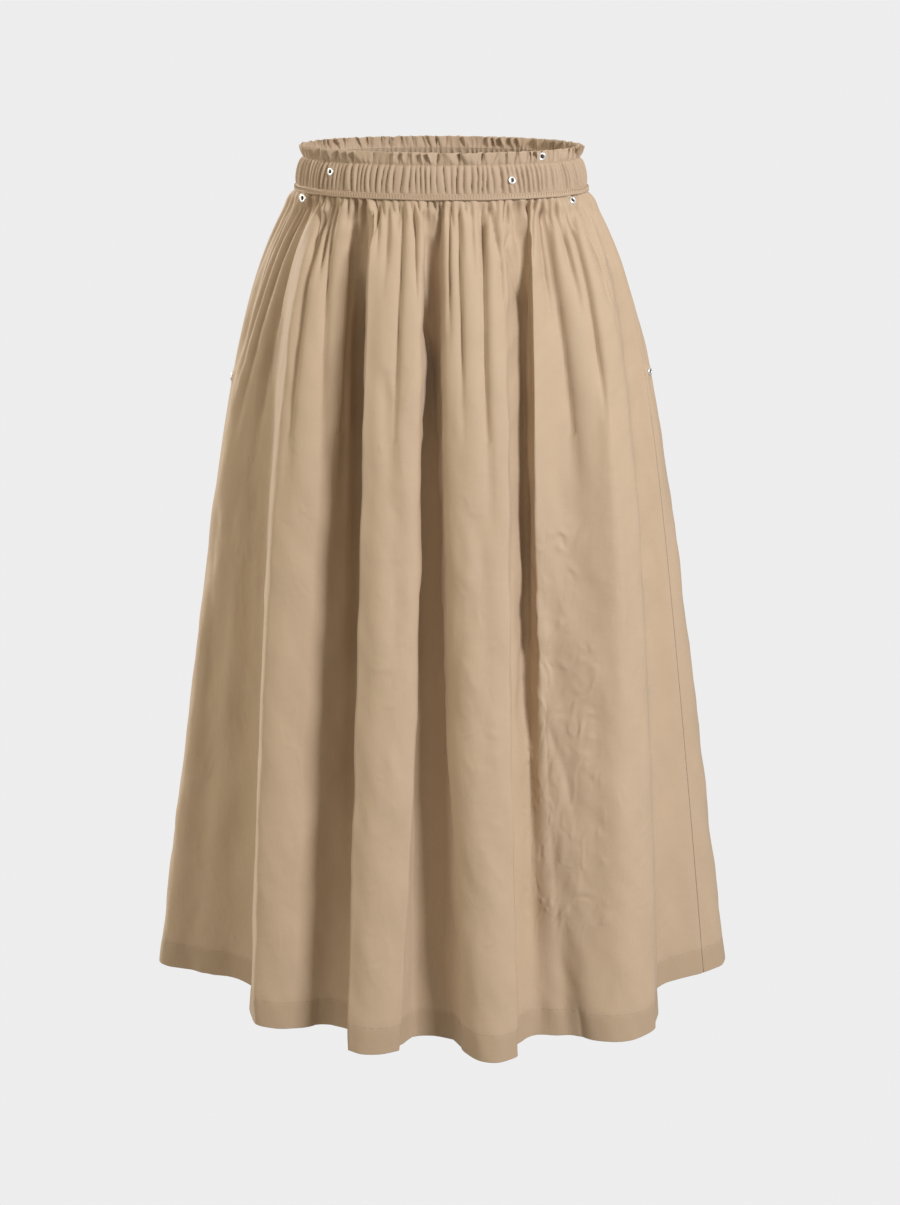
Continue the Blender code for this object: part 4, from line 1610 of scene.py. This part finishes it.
@dataclass
class WaistTape:
    """The narrow ribbed tape that covers the seam between band and skirt."""

    form: SkirtForm
    columns: int = 720
    strip: tuple[float, float] = (0.740, 0.0120)
    shows: float = 0.0066
    sway: float = 0.22 * MM
    sway_length: float = 34.0 * MM
    sway_out: float = 0.7
    sway_half: float = 110.0 * MM

    def ring(self, turn: np.ndarray, stations: np.ndarray) -> np.ndarray:
        """Goes round the tape, with its slight sway.

        Args:
            turn: Bearings in degrees, one for each column.
            stations: Heights and half-widths, one for each row.

        Returns:
            Points, as rows x columns x 3.
        """
        height, half = stations[:, :1], stations[:, 1]
        around = np.radians(turn)[None, :] * self.sway_half
        sway = self.sway * drift(around, 0.0, self.sway_length, 3)
        shape = self.form.round_waist(turn)[0]
        plan = shape[None] * (half[:, None, None] + sway.T[None] * self.sway_out)
        rise = np.broadcast_to(height + sway, plan.shape[:2])
        return np.concatenate([plan, rise[..., None]], 2)

    def build(self, cloth: bpy.types.Material) -> bpy.types.Object:
        """Builds the tape as one closed ring.

        Args:
            cloth: The tape's material.

        Returns:
            The tape.
        """
        section = closed_curve(np.array(TAPE_STATIONS), 2) * MM
        points = self.ring(whole_turn(self.columns), section)
        steps = np.linalg.norm(np.diff(section, axis=0, append=section[:1]), axis=1)
        around = np.arange(self.columns) / self.columns * self.strip[0]
        cut = np.stack(np.broadcast_arrays(around[None, :], -np.cumsum(steps)[:, None]), 2)
        piece = ring_mesh("waist_tape_cloth", points, cut)
        piece.data.materials.append(cloth)
        return piece

    def path(self, station: TapeStation) -> np.ndarray:
        """A line round the tape, closed by its last point."""
        return self.ring(np.linspace(-180.0, 180.0, 1441), np.array([station]) * MM)[0]


# repeats laid along a path


class Lay(Enum):
    """How a repeated bar lies on its path."""

    ALONG = "end to end, as stitches do"
    ACROSS = "side by side and upright, as ribs do"


@dataclass
class BarRow:
    """Small rounded bars at an even pitch along a line: stitches, or the ribs of the tape."""

    name: str
    pitch: float
    length: float
    radius: float
    lay: Lay = Lay.ALONG
    sides: int = 6
    rings: int = 5

    def tree(self, material: bpy.types.Material) -> bpy.types.NodeTree:
        """Builds the node tree that lays the bars.

        Args:
            material: The bars' material.

        Returns:
            The tree, with its sizes as named inputs.
        """
        tree = bpy.data.node_groups.new(self.name + "_bars", "GeometryNodeTree")
        face = tree.interface
        face.new_socket("Geometry", in_out="INPUT", socket_type="NodeSocketGeometry")
        for name in ("Pitch", "Length", "Radius"):
            face.new_socket(name, in_out="INPUT", socket_type="NodeSocketFloat")
        face.new_socket("Geometry", in_out="OUTPUT", socket_type="NodeSocketGeometry")
        sizes = add_node(tree, "NodeGroupInput").outputs
        line = add_node(tree, "GeometryNodeMeshToCurve", {"Mesh": sizes["Geometry"]})
        steps = {"Curve": line.outputs["Curve"], "Length": sizes["Pitch"]}
        spaced = add_node(tree, "GeometryNodeResampleCurve", steps, mode="LENGTH")
        grain = {"Segments": self.sides, "Rings": self.rings, "Radius": 1.0}
        ball = add_node(tree, "GeometryNodeMeshUVSphere", grain)
        half = add_node(tree, "ShaderNodeMath", {0: sizes["Length"], 1: 0.5}, operation="MULTIPLY")
        long_axis, short_axis = ("X", "Z") if self.lay is Lay.ALONG else ("Z", "X")
        axes = {long_axis: half.outputs["Value"], short_axis: sizes["Radius"], "Y": sizes["Radius"]}
        scale = add_node(tree, "ShaderNodeCombineXYZ", axes)
        shape = {"Geometry": ball.outputs["Mesh"], "Scale": scale.outputs["Vector"]}
        bar = add_node(tree, "GeometryNodeTransform", shape)
        tangent = {"Vector": add_node(tree, "GeometryNodeInputTangent").outputs["Tangent"]}
        turn = add_node(tree, "FunctionNodeAlignRotationToVector", tangent, axis="X")
        laid = {"Points": spaced.outputs["Curve"], "Instance": bar.outputs["Geometry"]}
        laid["Rotation"] = turn.outputs["Rotation"]
        lay = add_node(tree, "GeometryNodeInstanceOnPoints", laid)
        bars = {"Geometry": lay.outputs["Instances"]}
        smooth = add_node(tree, "GeometryNodeSetShadeSmooth", bars).outputs["Geometry"]
        real = add_node(tree, "GeometryNodeRealizeInstances", {"Geometry": smooth})
        dressed = {"Geometry": real.outputs["Geometry"], "Material": material}
        paint = add_node(tree, "GeometryNodeSetMaterial", dressed)
        add_node(tree, "NodeGroupOutput", {"Geometry": paint.outputs["Geometry"]})
        return tree

    def build(self, paths: list[np.ndarray], material: bpy.types.Material) -> bpy.types.Object:
        """Lays the bars along lines and makes one plain mesh of them.

        Args:
            paths: The lines, each as points.
            material: The bars' material.

        Returns:
            The bars as one piece.
        """
        points, edges = [], []
        for path in paths:
            edges += [(len(points) + i, len(points) + i + 1) for i in range(len(path) - 1)]
            points += path.tolist()
        mesh = bpy.data.meshes.new(self.name + "_lines")
        mesh.from_pydata(points, edges, [])
        source = placed(self.name + "_lines", mesh)
        modifier = source.modifiers.new("bars", "NODES")
        modifier.node_group = self.tree(material)
        sizes = {"Pitch": self.pitch, "Length": self.length, "Radius": self.radius}
        for item in modifier.node_group.interface.items_tree:
            if item.in_out == "INPUT" and item.name in sizes:
                modifier[item.identifier] = sizes[item.name]
        return plain_mesh(source, self.name)


def hem_stitches(node: str) -> BarRow:
    """The stitches that hold the turn-up of a panel's hem."""
    return BarRow(node + "_hem_stitches", 3.4 * MM, 2.7 * MM, 0.17 * MM)


BAND_STITCHES = BarRow("waistband_stitches", 2.3 * MM, 1.9 * MM, 0.16 * MM)
TAPE_RIBS = BarRow("waist_tape_ribs", 2.6 * MM, 3.8 * MM, 0.56 * MM, Lay.ACROSS)
TAPE_STITCHES = BarRow("waist_tape_stitches", 2.1 * MM, 1.7 * MM, 0.14 * MM)


# eyelets


class EyeletStation(NamedTuple):
    """A place on an eyelet's section: distance from its axis and height over its back, in
    millimetres."""

    radius: float
    rise: float


EYELET_STATIONS = [  # round the flange and back through the barrel
    EyeletStation(*row)
    for row in (
        (3.55, 0.00), (3.62, 0.22), (3.50, 0.48), (3.20, 0.76), (2.80, 0.92), (2.35, 0.94),
        (1.98, 0.80), (1.74, 0.54), (1.66, 0.26), (1.66, 0.00),
    )
]


@dataclass
class Eyelet:
    """A small rolled nickel eyelet, made where its solid lies."""

    node: str
    solid: bpy.types.Object
    sides: int = 44
    hole: float = 1.68 * MM
    hole_rise: float = 0.40 * MM

    def build(self, metal: bpy.types.Material, shadow: bpy.types.Material) -> bpy.types.Object:
        """Turns the eyelet's section round its axis and closes its hole with a dark disc of painted
        shadow.

        Args:
            metal: The ring's material.
            shadow: The painted shadow seen in the hole.

        Returns:
            The eyelet.
        """
        section = closed_curve(np.array(EYELET_STATIONS), 2) * MM
        section[:, 1] = np.clip(section[:, 1], 0.0, None)
        angles = TAU * np.arange(self.sides) / self.sides
        circle = [(math.cos(angle), math.sin(angle)) for angle in angles]
        points = [(radius * x, radius * y, rise) for radius, rise in section for x, y in circle]
        around = [(c, (c + 1) % self.sides) for c in range(self.sides)]
        starts = self.sides * np.arange(len(section))
        faces = [
            (a + c, a + d, b + d, b + c)
            for a, b in zip(starts.tolist(), np.roll(starts, -1).tolist())
            for c, d in around
        ]
        ring_faces = len(faces)
        low = len(points)
        high = low + self.sides + 1
        # two discs across the hole, which carry the painted shadow
        for rise in (0.0, self.hole_rise):
            points.append((0.0, 0.0, rise))
            points += [(self.hole * x, self.hole * y, rise) for x, y in circle]
        for c, d in around:
            faces.append((low, low + 1 + d, low + 1 + c))
            faces.append((high, high + 1 + c, high + 1 + d))
            faces.append((low + 1 + c, low + 1 + d, high + 1 + d, high + 1 + c))
        mesh = bpy.data.meshes.new(self.node + "_ring")
        mesh.from_pydata(points, [], faces)
        mesh.materials.append(metal)
        mesh.materials.append(shadow)
        # the ring is nickel, and the discs in its hole are painted shadow
        for polygon in mesh.polygons:
            polygon.material_index = 0 if polygon.index < ring_faces else 1
        mesh.shade_smooth()
        mesh.transform(eyelet_frame(self.solid))
        return placed(self.node + "_ring", mesh)


# studio


class SoftLight(NamedTuple):
    """A square soft light: where it hangs, how wide it is and its power in watts."""

    name: str
    place: Triple
    width: float
    power: float
    colour: Colour


SOFT_LIGHTS = [
    SoftLight("key_right", (2.25, -2.0, 1.2), 0.75, 103.0, (0.97, 1.00, 1.08)),
    SoftLight("fill_left", (-2.8, -1.15, 0.5), 2.2, 35.0, (1.00, 0.94, 0.82)),
    SoftLight("back_left", (-2.5, 1.9, 1.1), 0.9, 84.0, (0.98, 1.00, 1.04)),
]


@dataclass
class Studio:
    """A plain pale floor, soft lights and the camera at the photograph's angle."""

    floor_height: float = -1.080
    floor_radius: float = 19.0
    paper_radius: float = 20.0
    sky: Colour = (1.0, 0.94, 0.82)
    sky_strength: float = 0.49
    distance: float = 2.112
    height: float = 0.207
    aside: float = 0.008
    swing: float = 5.0
    dip: float = 16.15
    focal: float = 2324.0
    sensor: float = 36.0
    sight: float = 200.0
    aim: Triple = (0.0, 0.0, -0.4)

    def build(self) -> None:
        """Sets up the floor, the seamless paper round it, the lights, the world and the camera."""
        bpy.ops.mesh.primitive_circle_add(vertices=96, radius=self.floor_radius, fill_type="NGON")
        floor = bpy.context.object
        floor.location = (0.0, 0.0, self.floor_height)
        floor.visible_camera = False
        bpy.ops.mesh.primitive_uv_sphere_add(segments=96, ring_count=48, radius=self.paper_radius)
        backdrop = bpy.context.object
        backdrop.visible_diffuse = backdrop.visible_glossy = backdrop.visible_shadow = False
        backdrop.visible_transmission = backdrop.visible_volume_scatter = False
        papers = ((floor, "floor", FLOOR_PAPER), (backdrop, "round_paper", PALE_PAPER))
        for piece, name, paper in papers:
            piece.name = piece.data.name = name
            piece.data.materials.append(paper.material())
        for light in SOFT_LIGHTS:
            lamp = bpy.data.lights.new(light.name, "AREA")
            lamp.size, lamp.energy, lamp.color = light.width, light.power, light.colour
            holder = placed(light.name, lamp)
            holder.location = light.place
            turn = (Vector(self.aim) - Vector(light.place)).to_track_quat("-Z", "Y")
            holder.rotation_euler = turn.to_euler()
        world = bpy.data.worlds.new("studio")
        world.use_nodes = True
        sky = world.node_tree.nodes["Background"]
        sky.inputs["Color"].default_value = (*self.sky, 1.0)
        sky.inputs["Strength"].default_value = self.sky_strength
        bpy.context.scene.world = world
        bpy.context.scene.view_settings.view_transform = "Standard"
        self.camera()

    def camera(self) -> None:
        """Sets the camera where the photograph was taken from."""
        swing, dip = Matrix.Rotation(math.radians(self.swing), 3, "Z"), math.radians(self.dip)
        ahead = swing @ Vector((0.0, math.cos(dip), -math.sin(dip)))
        up = swing @ Vector((0.0, math.sin(dip), math.cos(dip)))
        right = swing @ Vector((1.0, 0.0, 0.0))
        lens = bpy.data.cameras.new("camera")
        lens.sensor_width = self.sensor
        lens.lens = self.sensor * self.focal / PHOTO_HEIGHT
        lens.clip_end = self.sight
        camera = placed("camera", lens)
        camera.matrix_world = Matrix((right, up, -ahead)).transposed().to_4x4()
        camera.location = swing @ Vector((self.aside, -self.distance, self.height))
        bpy.context.scene.camera = camera


# the whole skirt


def settle(piece: bpy.types.Object, node: str | None) -> None:
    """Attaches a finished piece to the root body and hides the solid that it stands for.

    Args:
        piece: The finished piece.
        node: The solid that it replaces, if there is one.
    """
    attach(piece, "root")
    if node:
        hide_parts(node)
    log.info("%s: %d triangles", piece.name, triangles(piece))


@dataclass
class Skirt:
    """The whole garment, from its panels to its eyelets."""

    nodes: dict[str, bpy.types.Object]
    thread: bpy.types.Material
    form: SkirtForm = field(default_factory=lambda: SkirtForm(FRONT_FOLDS + BACK_FOLDS))

    def seats(self, kind: str) -> list[Matrix]:
        """The frames of the eyelets of one kind, such as those of the band."""
        names = [name for name in sorted(self.nodes) if name.startswith(kind)]
        return [eyelet_frame(self.nodes[name]) for name in names]

    def build_panels(self, cloth: bpy.types.Material) -> None:
        """Builds both panels and the stitches of their hems.

        Args:
            cloth: The panels' material.
        """
        front = ("front_panel", "left seam", "right seam", FRONT_CREASES, FRONT_CRUMPLES, 1)
        back = ("back_panel", "right seam", "", BACK_CREASES, BACK_CRUMPLES, 2)
        for node, *rest in (front, back):
            panel = Panel(self.form, node + "_cloth", *rest, self.seats("eyelet_pocket"))
            piece = panel.build(cloth)
            settle(piece, node)
            seam = hem_stitches(node).build([panel.hem_path()], self.thread)
            settle(seam, None)

    def build_band(self, cloth: bpy.types.Material) -> None:
        """Builds the band with its stitches.

        Args:
            cloth: The band's material.
        """
        band = Waistband(self.form, self.seats("eyelet_band") + self.seats("eyelet_frill"))
        piece = band.build(cloth)
        settle(piece, "waistband")
        lines = [band.stitch_path(half, rib) for half, rib in band.stitch_lines]
        seam = BAND_STITCHES.build(lines, self.thread)
        settle(seam, None)

    def build_tape(self, cloth: bpy.types.Material) -> None:
        """Builds the tape with its ribs and stitches.

        Args:
            cloth: The tape's material.
        """
        tape = WaistTape(self.form)
        piece = tape.build(cloth)
        settle(piece, "waist_tape")
        ribs = TAPE_RIBS.build([tape.path(TAPE_RIB_LINE)], cloth)
        edges = TAPE_STITCHES.build([tape.path(line) for line in TAPE_STITCH_LINES], self.thread)
        for trim in (ribs, edges):
            settle(trim, None)

    def build_eyelets(self, metal: bpy.types.Material, shadow: bpy.types.Material) -> None:
        """Builds every eyelet where its solid lies.

        Args:
            metal: The rings' material.
            shadow: The painted shadow seen in the holes.
        """
        for name in sorted(self.nodes):
            if name.startswith("eyelet"):
                piece = Eyelet(name, self.nodes[name]).build(metal, shadow)
                settle(piece, name)


def main() -> None:
    """Builds the skirt over its solids, then the studio."""
    logging.basicConfig(level=logging.INFO, format="%(name)s: %(message)s")
    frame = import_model()
    skirt = Skirt(frame["nodes"], KHAKI_THREAD.material())
    skirt.build_panels(POPLIN.material())
    skirt.build_band(BAND_POPLIN_SHADED.material())
    skirt.build_tape(TAPE_COTTON.material())
    skirt.build_eyelets(BRIGHT_NICKEL.material(), HOLE_SHADOW.material())
    Studio().build()


if __name__ == "__main__":
    main()
